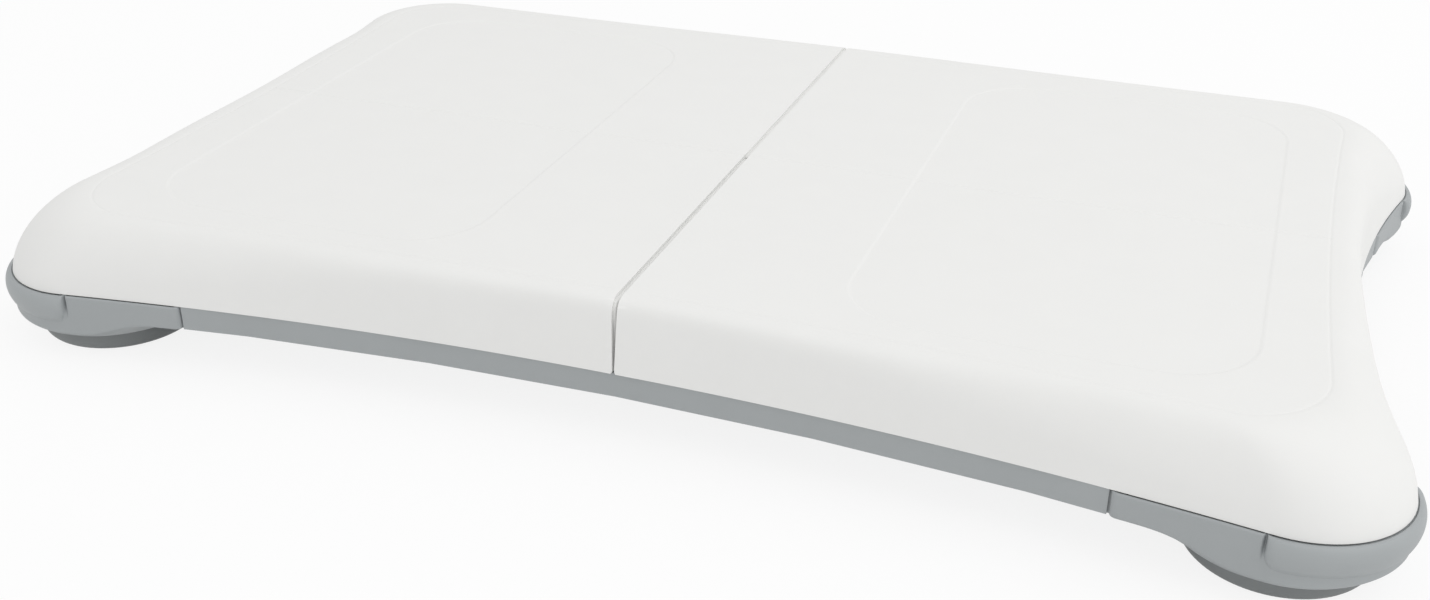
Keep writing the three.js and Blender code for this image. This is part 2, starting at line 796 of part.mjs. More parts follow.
function addFeet() {
  const hubTopZ = cellZ - footTravel - clearance;
  const innerRadius = footRadius - footWall;
  const floorTopZ = footFloorZ + footFloor;
  const bowl = new THREE.CubicBezierCurve(
    new THREE.Vector2(footSoleRadius, footSoleZ),
    new THREE.Vector2(footSoleRadius + footWall, footSoleZ),
    new THREE.Vector2(footRadius, (footSoleZ + footBowlZ) / 2),
    new THREE.Vector2(footRadius, footBowlZ),
  ).getPoints(footBowlSteps).map((point) => [point.x, point.y]);
  const recess = padRadius + clearance;
  for (const { name, sx, sy } of corners) {
    const [x, y] = [sx * footX, sy * footY];
    let foot = turned([
      [0, footFloorZ],
      [recess, footFloorZ],
      [recess, footSoleZ],
      ...bowl,
      [footRadius, footTopZ],
      [innerRadius, footTopZ],
      [innerRadius, floorTopZ],
      [footHubRadius, floorTopZ],
      [footHubRadius, hubTopZ],
      [0, hubTopZ],
    ], x, y, 16);
    for (let k = 0; k < footRibCount; k += 1) {
      const geometry = new THREE.BoxGeometry(innerRadius - footHubRadius + 2 * weld, footRibWall,
        footTopZ - floorTopZ);
      geometry.translate((innerRadius + footHubRadius) / 2, 0, (footTopZ + floorTopZ) / 2 - weld);
      geometry.rotateZ((2 * Math.PI * k) / footRibCount);
      geometry.translate(x, y, 0);
      foot = join(foot, solid(geometry));
    }
    const studZ = hubTopZ - studGrip - clearance;
    foot = cut(foot, rod(x, y, studZ, hubTopZ + overrun, studRadius + clearance));
    place(`foot_${name}`, foot, finishes.foot);
    const padTopZ = footFloorZ - clearance;
    place(`foot_pad_${name}`, turned([
      [0, 0],
      [padRadius - padEdge, 0],
      [padRadius, padEdge],
      [padRadius, padTopZ],
      [0, padTopZ],
    ], x, y, 16), finishes.rubber);
  }
}

// Corner legs

// The leg's underside sinks from its ends towards the round rim about the foot.
function legProfile() {
  const sweep = Array.from({ length: legSweepSteps + 1 }, (_, k) => {
    const share = k / legSweepSteps;
    const radius = legRimRadius + share * (legSweepReach - legRimRadius);
    return [radius, legEndZ - (legEndZ - legRimZ) * (1 - share) ** legSweepPower];
  });
  return [[0, legRimZ], ...sweep, [boardDepth / 2, legEndZ], [boardDepth / 2, legTopZ], [0, legTopZ]];
}

// The bumper's section: a soft roll that stands out from the leg.
function bumperSection() {
  const middle = (legTopZ + bumperFootZ) / 2;
  const half = (legTopZ - bumperFootZ) / 2;
  const roll = Array.from({ length: bumperSteps + 1 }, (_, k) => {
    const angle = (Math.PI * k) / bumperSteps;
    const fullness = Math.max(Math.sin(angle), 0) ** bumperFullnessShare;
    return [bumperReach * fullness, middle + half * Math.cos(angle)];
  });
  return [...roll, [-legSeatInset / 2, bumperFootZ], [-legSeatInset / 2, legTopZ]];
}

function legScrewPlace({ sx, sy }) {
  return [sx * (footX - legScrewOffset), sy * (footY - legScrewOffset)];
}

function addCornerLegs() {
  const bumper = ring(hemPlan, bumperSection());
  const rimmed = boardPrism(hemPlan, -legProud, 0, legTopZ);
  const seat = boardPrism(hemPlan, legSeatInset, baseFloorZ, legTopZ + overrun);
  for (const corner of corners) {
    const { name, sx, sy } = corner;
    const [x, y] = [sx * footX, sy * footY];
    const form = common(turned(legProfile(), x, y, 20), rimmed, legZone(corner, 0, 0, legTopZ));
    const bumperEnd = common(bumper, block(sx * bumperEndX, sx * boardLength,
      sy * bumperEndY, sy * boardLength, 0, hemZ));
    const [screwX, screwY] = legScrewPlace(corner);
    const leg = cut(
      join(cut(form, seat), bumperEnd),
      rod(x, y, 0, wellZ, footRadius + wellGap, 16),
      rod(x, y, 0, legTopZ, footHubRadius + hubHoleGap),
      rod(screwX, screwY, 0, legTopZ, screwHoleRadius),
      rod(screwX, screwY, 0, baseFloorZ - legScrewFloor, screwHeadRadius + clearance),
    );
    place(`corner_leg_${name}`, leg, finishes.grey);
  }
}

// Base shell

function baseTray() {
  const shelfZ = legTopZ - lipShelf;
  const skin = join(
    boardPrism(hemPlan, stripInset, baseClearance, legTopZ),
    boardPrism(hemPlan, lipInset, shelfZ, lipTopZ),
  );
  let tray = cut(
    skin,
    boardPrism(hemPlan, stripInset + baseWall, baseFloorZ, shelfZ),
    boardPrism(hemPlan, lipInset + lipWall, baseFloorZ, lipTopZ + overrun),
  );
  const cornerInset = legSeatInset + clearance;
  const kept = boardPrism(hemPlan, cornerInset, cornerFloorZ, lipTopZ + 2 * overrun);
  const cornerTub = cut(
    boardPrism(hemPlan, cornerInset, cornerFloorZ, lipTopZ),
    boardPrism(hemPlan, cornerInset + baseWall, cornerFloorTopZ, lipTopZ + overrun, hiddenSteps),
  );
  const floorPlan = boardPrism(hemPlan, stripInset, baseClearance, cornerFloorTopZ);
  for (const corner of corners) {
    const zone = legZone(corner, clearance, baseClearance - overrun, lipTopZ + overrun);
    const outerZone = legZone(corner, clearance + baseWall, baseClearance - overrun, lipTopZ + overrun);
    const step = common(cut(outerZone, zone), floorPlan);
    const [screwX, screwY] = legScrewPlace(corner);
    tray = join(
      cut(tray, cut(zone, kept)),
      common(cornerTub, outerZone),
      step,
      rod(screwX, screwY, cornerFloorZ, cornerFloorTopZ + legBossHeight, legBossRadius),
    );
    tray = cut(
      tray,
      rod(screwX, screwY, baseClearance, cornerFloorTopZ + legBossHeight + overrun, screwHoleRadius),
      rod(corner.sx * footX, corner.sy * footY, baseClearance, lipTopZ, footHubRadius + hubHoleGap),
    );
  }
  return tray;
}

function batteryY(k) {
  return (bayY + bayEndY) / 2 + (k - (batteryCount - 1) / 2) * batteryPitch;
}

// The pockets seen when the battery door is off: the bay, the sync niche and the door's ledge.
function withBatteryBay(base) {
  const halfX = bayRoomX / 2;
  const ledgeZ = baseClearance + doorSheet + clearance;
  const rimOut = clearance + bayWall;
  const tabSlotTopZ = ledgeZ + tabSlotRoom;
  let bay = join(
    base,
    block(-halfX - bayWall, halfX + bayWall, bayY - bayWall, bayEndY + bayWall,
      baseClearance, bayRoofZ + bayWall),
    block(-doorHalfX - rimOut, doorHalfX + rimOut, doorY - rimOut, doorEndY + rimOut,
      baseClearance, ledgeZ + ledgeHeight),
    block(-nicheHalf - bayWall, nicheHalf + bayWall, bayEndY, nicheY + nicheDepth + bayWall,
      baseClearance, nicheRoofZ + nicheRoof),
  );
  bay = cut(
    bay,
    block(-doorHalfX - clearance, doorHalfX + clearance, doorY - clearance, doorEndY + clearance,
      baseClearance - overrun, ledgeZ),
    block(-halfX, halfX, bayY, bayEndY, baseClearance, bayRoofZ),
    block(-nicheHalf, nicheHalf, nicheY, nicheY + nicheDepth, baseClearance, nicheRoofZ),
    rod(0, nicheY + nicheDepth / 2, nicheRoofZ - overrun, nicheRoofZ + nicheRoof + overrun,
      syncRadius + clearance),
  );
  for (const sx of [-1, 1]) {
    let saddle = block(sx * saddleX - saddleWall / 2, sx * saddleX + saddleWall / 2, bayY, bayEndY,
      batteryZ, bayRoofZ + weld);
    for (let k = 0; k < batteryCount; k += 1) {
      const hollow = batteryRadius + clearance;
      saddle = cut(saddle, axle(-halfX, halfX, batteryY(k), batteryZ, hollow, hollow, 14));
    }
    bay = join(bay, saddle);
    const tabHalf = doorTabWidth / 2 + clearance;
    bay = cut(bay, block(sx * doorTabX - tabHalf, sx * doorTabX + tabHalf, doorEndY - doorTabReach,
      doorEndY + doorTabReach + 2 * clearance, baseClearance + doorLipSheet, tabSlotTopZ));
  }
  for (const k of [0, batteryCount - 1]) {
    bay = cut(bay, block(-halfX - bayWall - overrun, -halfX + weld,
      batteryY(k) - contactTabWidth / 2 - clearance, batteryY(k) + contactTabWidth / 2 + clearance,
      batteryZ - contactTabSheet / 2 - clearance, batteryZ + contactTabSheet / 2 + clearance));
  }
  return bay;
}

// The opening in the straight far edge for the power button, cleared through the lip behind it.
function withPowerButtonOpening(base) {
  const half = buttonHalfX + clearance;
  const side = buttonHeight / 2 + clearance;
  const opening = pillAlongY(half, side, farY - baseWall - overrun, farY + overrun, 0);
  const flangeHalf = buttonHalfX + buttonFlange + 2 * clearance;
  const room = block(-flangeHalf, flangeHalf, farY - baseWall - lipInset - lipWall, farY - baseWall,
    baseFloorZ, lipTopZ + overrun);
  return cut(base, opening, room);
}

// A bar with round ends seen along Y, centred on the button's height.
function pillAlongY(halfX, halfZ, y0, y1, x) {
  const shape = roundedRectangle(-halfX, halfX, -halfZ, halfZ, halfZ - weld / 2);
  const geometry = new THREE.ExtrudeGeometry(shape, {
    depth: y1 - y0, bevelEnabled: false, curveSegments: 2,
  });
  geometry.rotateX(Math.PI / 2);
  geometry.translate(x, y1, buttonZ);
  return solid(geometry);
}

function addBaseShell() {
  let base = withPowerButtonOpening(withBatteryBay(baseTray()));
  const pinTopZ = mainZ + boardSheet + postPinRadius;
  for (const { sx, sy } of corners) {
    const postY = sy > 0 ? mainEndY - postInset : mainY + postInset;
    base = join(
      base,
      rod(sx * postX, postY, baseClearance + weld, mainZ - clearance, postRadius),
      rod(sx * postX, postY, mainZ - clearance - weld, pinTopZ, postPinRadius),
      rod(sx * baseScrewX, sy * baseScrewY, baseClearance, plateZ - clearance, baseBossRadius),
    );
    base = cut(
      base,
      rod(sx * baseScrewX, sy * baseScrewY, baseClearance - overrun, plateZ, screwHoleRadius),
      rod(sx * baseScrewX, sy * baseScrewY, baseClearance - overrun,
        baseFloorZ + baseScrewDepth, screwHeadRadius + 2 * clearance),
    );
  }
  for (const sx of [-1, 1]) {
    const rail = cut(
      block(sx * (uprightHalfX - uprightRail / 2), sx * (uprightHalfX + uprightRail / 2),
        uprightY - boardSheet - clearance, uprightY + 2 * boardSheet + clearance,
        baseFloorZ - weld, mainZ - uprightRail),
      block(0, sx * (uprightHalfX + clearance), uprightY - clearance, uprightY + boardSheet + clearance,
        baseFloorZ, mainZ),
    );
    base = join(base, rail);
  }
  place('base_shell', base, finishes.grey);
}

// Battery door

function addBatteryDoor() {
  const topZ = baseClearance + doorSheet;
  let door = block(-doorHalfX, doorHalfX, doorY, doorEndY, baseClearance, topZ);
  for (const sx of [-1, 1]) {
    const slotX = sx * (latchWidth / 2);
    const tab = block(sx * doorTabX - doorTabWidth / 2, sx * doorTabX + doorTabWidth / 2,
      doorEndY - weld, doorEndY + doorTabReach, topZ - doorTabSheet, topZ);
    const slot = block(slotX - latchSlot / 2, slotX + latchSlot / 2, doorY - overrun, doorY + latchDepth,
      baseClearance - overrun, topZ + overrun);
    door = cut(join(door, tab), slot);
  }
  const dentHalf = latchWidth / 2 - latchSlot;
  const dent = block(-dentHalf, dentHalf, doorY + latchDent, doorY + latchDepth / 2,
    baseClearance - overrun, baseClearance + latchDent);
  place('battery_door', cut(door, dent), finishes.grey);
}

// Batteries and their contacts

function addBatteries() {
  const half = batteryLength / 2;
  for (let k = 0; k < batteryCount; k += 1) {
    const way = k % 2 === 0 ? -1 : 1;
    const can = axle(way > 0 ? -half : -half + batteryNub, way > 0 ? half - batteryNub : half,
      batteryY(k), batteryZ, batteryRadius, batteryRadius, 14);
    const nub = axle(way > 0 ? half - batteryNub - weld : -half, way > 0 ? half : -half + batteryNub + weld,
      batteryY(k), batteryZ, batteryNubRadius);
    place(`battery_${k + 1}`, join(can, nub), finishes.battery);
  }
}

// One spring or bump that meets a battery end, on its contact plate.
function contactEnd(way, k) {
  const plateX = bayRoomX / 2 - clearance - contactSheet;
  const tipX = batteryLength / 2 + clearance;
  const isPositive = (k % 2 === 0) === (way < 0);
  const tip = contactBumpRadius;
  const base = isPositive ? contactBumpRadius : contactSpringRadius;
  return way > 0
    ? axle(tipX, plateX + weld / 2, batteryY(k), batteryZ, tip, base)
    : axle(-plateX - weld / 2, -tipX, batteryY(k), batteryZ, base, tip);
}

function addContacts() {
  const outerX = bayRoomX / 2 - clearance;
  const groups = [
    { name: 'contact_plus', way: -1, first: 0, last: 0, tab: true },
    { name: 'contact_link_near', way: 1, first: 0, last: 1 },
    { name: 'contact_link_middle', way: -1, first: 1, last: 2 },
    { name: 'contact_link_far', way: 1, first: 2, last: 3 },
    { name: 'contact_minus', way: -1, first: 3, last: 3, tab: true },
  ];
  for (const { name, way, first, last, tab } of groups) {
    let contact = block(way * outerX, way * (outerX - contactSheet), batteryY(first) - contactSide,
      batteryY(last) + contactSide, batteryZ - contactHeight / 2, batteryZ + contactHeight / 2);
    for (let k = first; k <= last; k += 1) contact = join(contact, contactEnd(way, k));
    if (tab) {
      contact = join(contact, block(way * (outerX - contactSheet / 2), way * (outerX + contactTabReach),
        batteryY(first) - contactTabWidth / 2, batteryY(first) + contactTabWidth / 2,
        batteryZ - contactTabSheet / 2, batteryZ + contactTabSheet / 2));
    }
    place(name, contact, finishes.steel);
  }
}

// Circuit boards, switches and buttons

function addElectronics() {
  const top = mainZ + boardSheet;
  let main = block(-mainHalfX, mainHalfX, mainY, mainEndY, mainZ, top);
  for (const { sx, sy } of corners) {
    const postY = sy > 0 ? mainEndY - postInset : mainY + postInset;
    main = cut(main, rod(sx * postX, postY, mainZ - overrun, top + overrun, postPinRadius + clearance));
  }
  main = join(
    main,
    block(-mainHalfX, -mainHalfX + headerDepth / 2, headerY.minus - headerMargin,
      headerY.far + headerMargin, mainZ - headerDrop, mainZ + weld),
    block(mainHalfX - headerDepth / 2, mainHalfX, headerY.near - headerMargin,
      headerY.far + headerMargin, mainZ - headerDrop, mainZ + weld),
    block(-chipSize / 2, chipSize / 2, mainY + chipSize, mainY + 2 * chipSize, mainZ, top + chipHeight),
    block(2 * chipSize, (2 + smallChipShare) * chipSize, mainY + 2 * chipSize,
      mainY + 3 * chipSize, mainZ, top + chipHeight),
  );
  place('main_board', main, finishes.circuit);

  const radioY = mainEndY - radioInset - radioDepth;
  place('radio_module', block(-radioLength, 0, radioY, radioY + radioDepth, top + clearance,
    top + clearance + radioHeight), finishes.steel);

  const uprightTopZ = mainZ - clearance;
  const led = block(-ledWidth / 2, ledWidth / 2, uprightY, uprightY + boardSheet + ledReach,
    buttonZ - ledWidth / 2, buttonZ + ledWidth / 2);
  place('button_board', join(block(-uprightHalfX, uprightHalfX, uprightY, uprightY + boardSheet,
    baseFloorZ + clearance, uprightTopZ), led), finishes.circuit);

  const switchY = uprightY + boardSheet + clearance;
  const plunger = new THREE.CylinderGeometry(plungerRadius, plungerRadius, plungerReach + weld, 10);
  plunger.translate(buttonStemX, switchY + switchDepth + (plungerReach - weld) / 2, buttonZ);
  place('power_switch', join(block(buttonStemX - switchWidth / 2, buttonStemX + switchWidth / 2,
    switchY, switchY + switchDepth, buttonZ - switchHeight / 2, buttonZ + switchHeight / 2), solid(plunger)),
  finishes.blackPlastic);

  const frontY = farY + buttonProud;
  const flangeY = farY - baseWall - clearance;
  const flangeHalf = buttonHalfX + buttonFlange;
  const flange = block(-flangeHalf, flangeHalf, flangeY - buttonFlangeSheet, flangeY,
    buttonZ - buttonHeight / 2, buttonZ + buttonHeight / 2);
  const stemEndY = switchY + switchDepth + plungerReach + buttonTravel + clearance / 3;
  const stem = block(buttonStemX - buttonStemWidth / 2, buttonStemX + buttonStemWidth / 2, stemEndY,
    flangeY - weld, buttonZ - buttonStemWidth / 2, buttonZ + buttonStemWidth / 2);
  const guideY = uprightY + boardSheet + ledReach + buttonTravel + clearance;
  const guideSlot = pillAlongY(guideHalfX + clearance, guideHeight / 2 + clearance, guideY - overrun,
    frontY + overrun, 0);
  const cap = pillAlongY(buttonHalfX, buttonHeight / 2, flangeY - weld, frontY, 0);
  place('power_button', cut(join(cap, flange, stem), guideSlot), finishes.grey);
  place('power_light_guide', pillAlongY(guideHalfX, guideHeight / 2, guideY, frontY, 0), finishes.guide);

  const syncY = nicheY + nicheDepth / 2;
  const flangeZ = nicheRoofZ + nicheRoof + clearance;
  place('sync_button', turned([
    [0, syncTipZ],
    [syncRadius, syncTipZ],
    [syncRadius, flangeZ],
    [syncFlangeRadius, flangeZ],
    [syncFlangeRadius, flangeZ + syncFlange],
    [0, flangeZ + syncFlange],
  ], 0, syncY, 12), finishes.red);
  const plungerZ = flangeZ + syncFlange + syncTravel + clearance / 3;
  place('sync_switch', join(
    block(-syncSwitchWidth / 2, syncSwitchWidth / 2, mainY, mainY + syncSwitchWidth, plungerZ + plungerReach,
      mainZ - clearance),
    rod(0, syncY, plungerZ, plungerZ + plungerReach + weld, plungerRadius),
  ), finishes.blackPlastic);
}

// Leads

function addLead(name, route, radius) {
  const points = route.map(([x, y, z]) => new THREE.Vector3(x, y, z));
  const curve = new THREE.CatmullRomCurve3(points, false, 'centripetal');
  const section = new THREE.Shape(arcPoints(0, 0, radius, 0, 2 * Math.PI, leadSides));
  const geometry = new THREE.ExtrudeGeometry(section, { steps: points.length, extrudePath: curve });
  place(name, solid(geometry), finishes.lead);
}

// The bends of one stretch, laid from a point.
function laid(bends, x, y, z) {
  return bends.map(([dx, dy, dz]) => [x + dx, y + dy, z + dz]);
}

function addLeads() {
  const floorZ = baseFloorZ + leadLift + sensorLeadRadius;
  const overCornerZ = cornerFloorTopZ + leadLift + sensorLeadRadius;
  const headerZ = mainZ - headerDrop / 2;
  const gaugeX = footX + cellOverhang - gaugeCentre;
  const gaugeZ = cellZ + cellHeight / 2;
  const gaugeY = footY - cellWidth / 2 - clearance;
  const endX = mainHalfX + clearance;
  for (const { name, sx, sy } of corners) {
    const headerAt = sy > 0 ? headerY.far : -headerY.near;
    const run = sy > 0
      ? [
        ...laid(leadBends.rearCorner, gaugeX, gaugeY, overCornerZ),
        ...laid(leadBends.rearFloor, gaugeX, headerAt, floorZ),
        ...laid(leadBends.rearBoard, endX, headerAt, floorZ),
      ]
      : [
        ...laid(leadBends.frontCorner, gaugeX, gaugeY, overCornerZ),
        ...laid(leadBends.frontFloor, gaugeX, gaugeY, floorZ),
        ...laid(leadBends.frontMiddle, endX, 0, floorZ),
        ...laid(leadBends.frontBoard, endX, headerAt, floorZ),
      ];
    const route = [
      ...laid(leadBends.gauge, gaugeX, gaugeY, gaugeZ),
      ...run,
      ...laid(leadBends.header, endX, headerAt, headerZ),
    ];
    addLead(`sensor_lead_${name}`, route.map(([x, y, z]) => [sx * x, sy * y, z]), sensorLeadRadius);
  }
  const tabX = -bayRoomX / 2 - contactTabReach;
  const low = baseFloorZ + leadLift + batteryLeadRadius;
  const lastY = batteryY(batteryCount - 1);
  addLead('battery_lead_plus', [
    ...laid(leadBends.plusTab, tabX, batteryY(0), batteryZ),
    ...laid(leadBends.plusFloor, -endX, batteryY(0), low),
    ...laid(leadBends.plusHeader, -endX, headerY.plus, headerZ),
  ], batteryLeadRadius);
  addLead('battery_lead_minus', [
    ...laid(leadBends.minusTab, tabX, lastY, batteryZ),
    ...laid(leadBends.minusRise, -endX, lastY, headerZ),
    ...laid(leadBends.minusHeader, -endX, headerY.minus, headerZ),
  ], batteryLeadRadius);
}

// Screws

function addScrew(name, x, y, headZ, headHeight, tipZ) {
  place(name, turned([
    [0, headZ],
    [screwHeadRadius, headZ],
    [screwHeadRadius, headZ + headHeight],
    [screwRadius, headZ + headHeight],
    [screwRadius, tipZ - screwRadius],
    [0, tipZ],
  ], x, y, 6), finishes.steel);
}

function addScrews() {
  for (const corner of corners) {
    const { name, sx, sy } = corner;
    const [x, y] = legScrewPlace(corner);
    addScrew(`leg_screw_${name}`, x, y, baseFloorZ - legScrewFloor - clearance - legScrewHead, legScrewHead,
      cornerFloorTopZ + legBossHeight - screwRadius);
    addScrew(`base_screw_${name}`, sx * baseScrewX, sy * baseScrewY,
      baseFloorZ + baseScrewDepth - clearance - screwHeadHeight, screwHeadHeight, plateTopZ);
    addScrew(`cover_screw_${name}`, sx * coverScrewX, sy * coverScrewY, plateZ - clearance - screwHeadHeight,
      screwHeadHeight, plateTopZ + coverScrewReach - clearance);
  }
}

addCovers();
addLoadPlate();
addLoadCells();
addFeet();
addCornerLegs();
addBaseShell();
addBatteryDoor();
addBatteries();
addContacts();
addElectronics();
addLeads();
addScrews();

export default board;
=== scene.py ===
# %% [markdown]
# # A game console balance board
# The board is a low platform that you stand on. Two white covers meet at a seam, and a grey base
# with four soft-edged corner legs carries them on round feet. The CAD model gives every solid its
# place. This lesson dresses it: smooth surfaces take the place of the faceted ones that the camera
# sees, and every solid gets a material of its own. Shapes are worked out in millimetres, and
# turned into metres when they are built.

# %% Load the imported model
import json
import math

import bmesh
import bpy
import numpy as np
from mathutils import Matrix, Vector


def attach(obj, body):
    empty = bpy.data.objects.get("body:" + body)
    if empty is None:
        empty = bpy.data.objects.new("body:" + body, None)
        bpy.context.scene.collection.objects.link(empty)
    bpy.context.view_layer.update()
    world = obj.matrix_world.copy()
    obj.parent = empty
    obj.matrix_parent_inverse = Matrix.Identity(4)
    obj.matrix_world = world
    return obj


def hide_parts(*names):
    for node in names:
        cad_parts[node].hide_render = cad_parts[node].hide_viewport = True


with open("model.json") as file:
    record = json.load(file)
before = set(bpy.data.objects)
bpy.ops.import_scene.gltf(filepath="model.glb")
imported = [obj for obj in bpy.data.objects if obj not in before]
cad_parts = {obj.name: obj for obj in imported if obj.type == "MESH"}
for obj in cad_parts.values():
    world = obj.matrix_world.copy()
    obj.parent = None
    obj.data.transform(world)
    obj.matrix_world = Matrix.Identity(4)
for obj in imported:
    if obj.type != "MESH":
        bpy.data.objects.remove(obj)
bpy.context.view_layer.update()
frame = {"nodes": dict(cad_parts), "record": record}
MM = 0.001

# %% [markdown]
# ## The camera
# The photograph looks down at the near long edge of the board, from a little to the right of its
# middle. A camera could be placed by eye and nudged. This one was solved from the outline of the
# board, which has a known length and width, so that every other edge can then be set against the
# photograph.

# %% Camera
LENS = 40.23
YAW_PITCH_ROLL = (-19.9707, 27.5382, 0.2920)
CAMERA_PLACE = (0.190365, -0.560621, 0.296641)
camera_data = bpy.data.cameras.new("camera")
camera = bpy.data.objects.new("camera", camera_data)
bpy.context.scene.collection.objects.link(camera)
bpy.context.scene.camera = camera
camera_data.sensor_width = 36.0
camera_data.lens = LENS
camera_data.clip_start = 0.01
yaw, pitch, roll = (math.radians(angle) for angle in YAW_PITCH_ROLL)
ahead = Vector((math.sin(yaw) * math.cos(pitch), math.cos(yaw) * math.cos(pitch),
                -math.sin(pitch)))
level = Vector((math.cos(yaw), -math.sin(yaw), 0.0))
upright = level.cross(ahead)
right = math.cos(roll) * level + math.sin(roll) * upright
above = -math.sin(roll) * level + math.cos(roll) * upright
turn = Matrix((right, above, -ahead)).transposed().to_4x4()
camera.matrix_world = Matrix.Translation(CAMERA_PLACE) @ turn
print("camera looks", [round(v, 3) for v in ahead])

# %% [markdown]
# ## Floor
# The photograph has a plain white ground. A large pale floor lights the board from below as white
# paper does. Paper lit by studio flash looks pure white in the picture. More light would whiten it
# too, but would wash out the board as well. So what the camera and the reflections see of the
# floor is mostly a white glow, with a little of the soft shadow left. From below the paper is
# clear, so the underside of the board can be looked at.

# %% Floor
bpy.context.scene.view_settings.view_transform = "Standard"
FLOOR_REACH = 6.0
FLOOR_GLOW = 0.86
PAPER_TONE, PAPER_ROUGHNESS = (0.86, 0.86, 0.86, 1), 0.9
floor_mesh = bpy.data.meshes.new("floor")
floor_mesh.from_pydata(
    [(-FLOOR_REACH, -FLOOR_REACH, 0), (FLOOR_REACH, -FLOOR_REACH, 0),
     (FLOOR_REACH, FLOOR_REACH, 0), (-FLOOR_REACH, FLOOR_REACH, 0)], [], [(0, 1, 2, 3)])
floor = bpy.data.objects.new("floor", floor_mesh)
bpy.context.scene.collection.objects.link(floor)
paper = bpy.data.materials.new("white_paper")
paper.use_nodes = True
add, join = paper.node_tree.nodes.new, paper.node_tree.links.new
paper_shader = paper.node_tree.nodes["Principled BSDF"]
paper_shader.inputs["Base Color"].default_value = PAPER_TONE
paper_shader.inputs["Roughness"].default_value = PAPER_ROUGHNESS
glow = add("ShaderNodeEmission")
rays = add("ShaderNodeLightPath")
seen = add("ShaderNodeMath")
seen.operation = "MAXIMUM"
join(rays.outputs["Is Camera Ray"], seen.inputs[0])
join(rays.outputs["Is Glossy Ray"], seen.inputs[1])
share = add("ShaderNodeMath")
share.operation = "MULTIPLY"
share.inputs[1].default_value = FLOOR_GLOW
join(seen.outputs[0], share.inputs[0])
both_looks = add("ShaderNodeMixShader")
join(share.outputs[0], both_looks.inputs[0])
join(paper_shader.outputs[0], both_looks.inputs[1])
join(glow.outputs[0], both_looks.inputs[2])
clear = add("ShaderNodeBsdfTransparent")
side = add("ShaderNodeNewGeometry")
one_sided = add("ShaderNodeMixShader")
join(side.outputs["Backfacing"], one_sided.inputs[0])
join(both_looks.outputs[0], one_sided.inputs[1])
join(clear.outputs[0], one_sided.inputs[2])
join(one_sided.outputs[0], paper.node_tree.nodes["Material Output"].inputs["Surface"])
floor_mesh.materials.append(paper)
print("floor", 2 * FLOOR_REACH, "m square")

# %% [markdown]
# ## Light
# The light in the photograph comes evenly from all round, and a little more from high on the near
# right: the top is brightest, then the right flank and the near flank, and the left and far
# shoulders are darkest. So the world gives even light, and one wide soft lamp hangs high on the
# near right. More lamps would each add a shadow that the photograph doesn't have.

# %% Light
SKY_STRENGTH = 0.875
LAMP_PLACE, LAMP_SIZE, LAMP_POWER = (1.35, -0.25, 1.65), 2.4, 13.5
world = bpy.data.worlds.new("studio")
bpy.context.scene.world = world
world.use_nodes = True
world.node_tree.nodes["Background"].inputs["Color"].default_value = (1.0, 1.0, 1.0, 1)
world.node_tree.nodes["Background"].inputs["Strength"].default_value = SKY_STRENGTH
lamp_data = bpy.data.lights.new("high_lamp", "AREA")
lamp_data.size = LAMP_SIZE
lamp_data.energy = LAMP_POWER
lamp = bpy.data.objects.new("high_lamp", lamp_data)
lamp.location = LAMP_PLACE
lamp.rotation_euler = (-Vector(LAMP_PLACE)).to_track_quat("-Z", "Y").to_euler()
bpy.context.scene.collection.objects.link(lamp)
print("lamp", LAMP_SIZE, "m wide at", LAMP_PLACE)

# %% [markdown]
# ## Meshes from arrays
# Every new piece is one or more grids of points worked out with numpy. The same surfaces could be
# modelled by hand, but in a formula one number changes the whole shape. A grid's faces join each
# point to its next neighbours. Whether they look outwards shows in the sign of the volume that
# they enclose with an inside point, so the helper turns them round where that volume is negative.

# %% Grid helpers


def quads(rows, cols, wrap_rows=False, wrap_cols=False):
    """Corner numbers of a grid's faces: each face joins a point to its three next neighbours."""
    r = np.arange(rows if wrap_rows else rows - 1)
    c = np.arange(cols if wrap_cols else cols - 1)
    r, c = np.meshgrid(r, c, indexing="ij")
    below, beside = (r + 1) % rows, (c + 1) % cols
    corners = [r * cols + c, r * cols + beside, below * cols + beside, below * cols + c]
    return np.stack(corners, -1).reshape(-1, 4)


def outward(points, wrap_rows=False, wrap_cols=False, inside=None):
    """A grid as (points, faces) that look away from an inside point.

    Seen from that point, the volume is the sum of a . (b x c) + a . (c x d) over the faces.
    """
    flat = points.reshape(-1, 3)
    faces = quads(*points.shape[:2], wrap_rows, wrap_cols)
    middle = flat.mean(0) if inside is None else np.asarray(inside, float)
    a, b, c, d = (flat[faces[:, k]] - middle for k in range(4))
    volume = np.sum(a * np.cross(b, c)) + np.sum(a * np.cross(c, d))
    return (flat, faces) if volume > 0 else (flat, faces[:, ::-1])


print("a 3 by 4 grid has", len(quads(3, 4)), "faces")

# %% [markdown]
# ## From grids to a piece
# A piece joins its grids, merges the points where they meet and rides on one body of the CAD
# model, so it moves with that body in every pose. A mould leaves no sharp edges. Where the rows of
# a grid don't round an edge themselves, a narrow bevel does. A thin moulding is drawn as its outer
# face, and gets its wall from a modifier.

# %% Pieces
MERGE_DISTANCE = 2e-6
BEVEL_SEGMENTS = 2


def place_piece(name, mesh, body, finish, replaces=()):
    """Links a mesh as a smooth-shaded piece with one finish, and lets it ride on a body."""
    mesh.polygons.foreach_set("use_smooth", np.ones(len(mesh.polygons), bool))
    mesh.materials.clear()
    mesh.materials.append(finish)
    mesh.polygons.foreach_set("material_index", np.zeros(len(mesh.polygons), np.int32))
    thing = bpy.data.objects.new(name, mesh)
    bpy.context.scene.collection.objects.link(thing)
    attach(thing, body)
    if replaces:
        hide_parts(*replaces)
    print(name, len(mesh.polygons), "faces")
    return thing


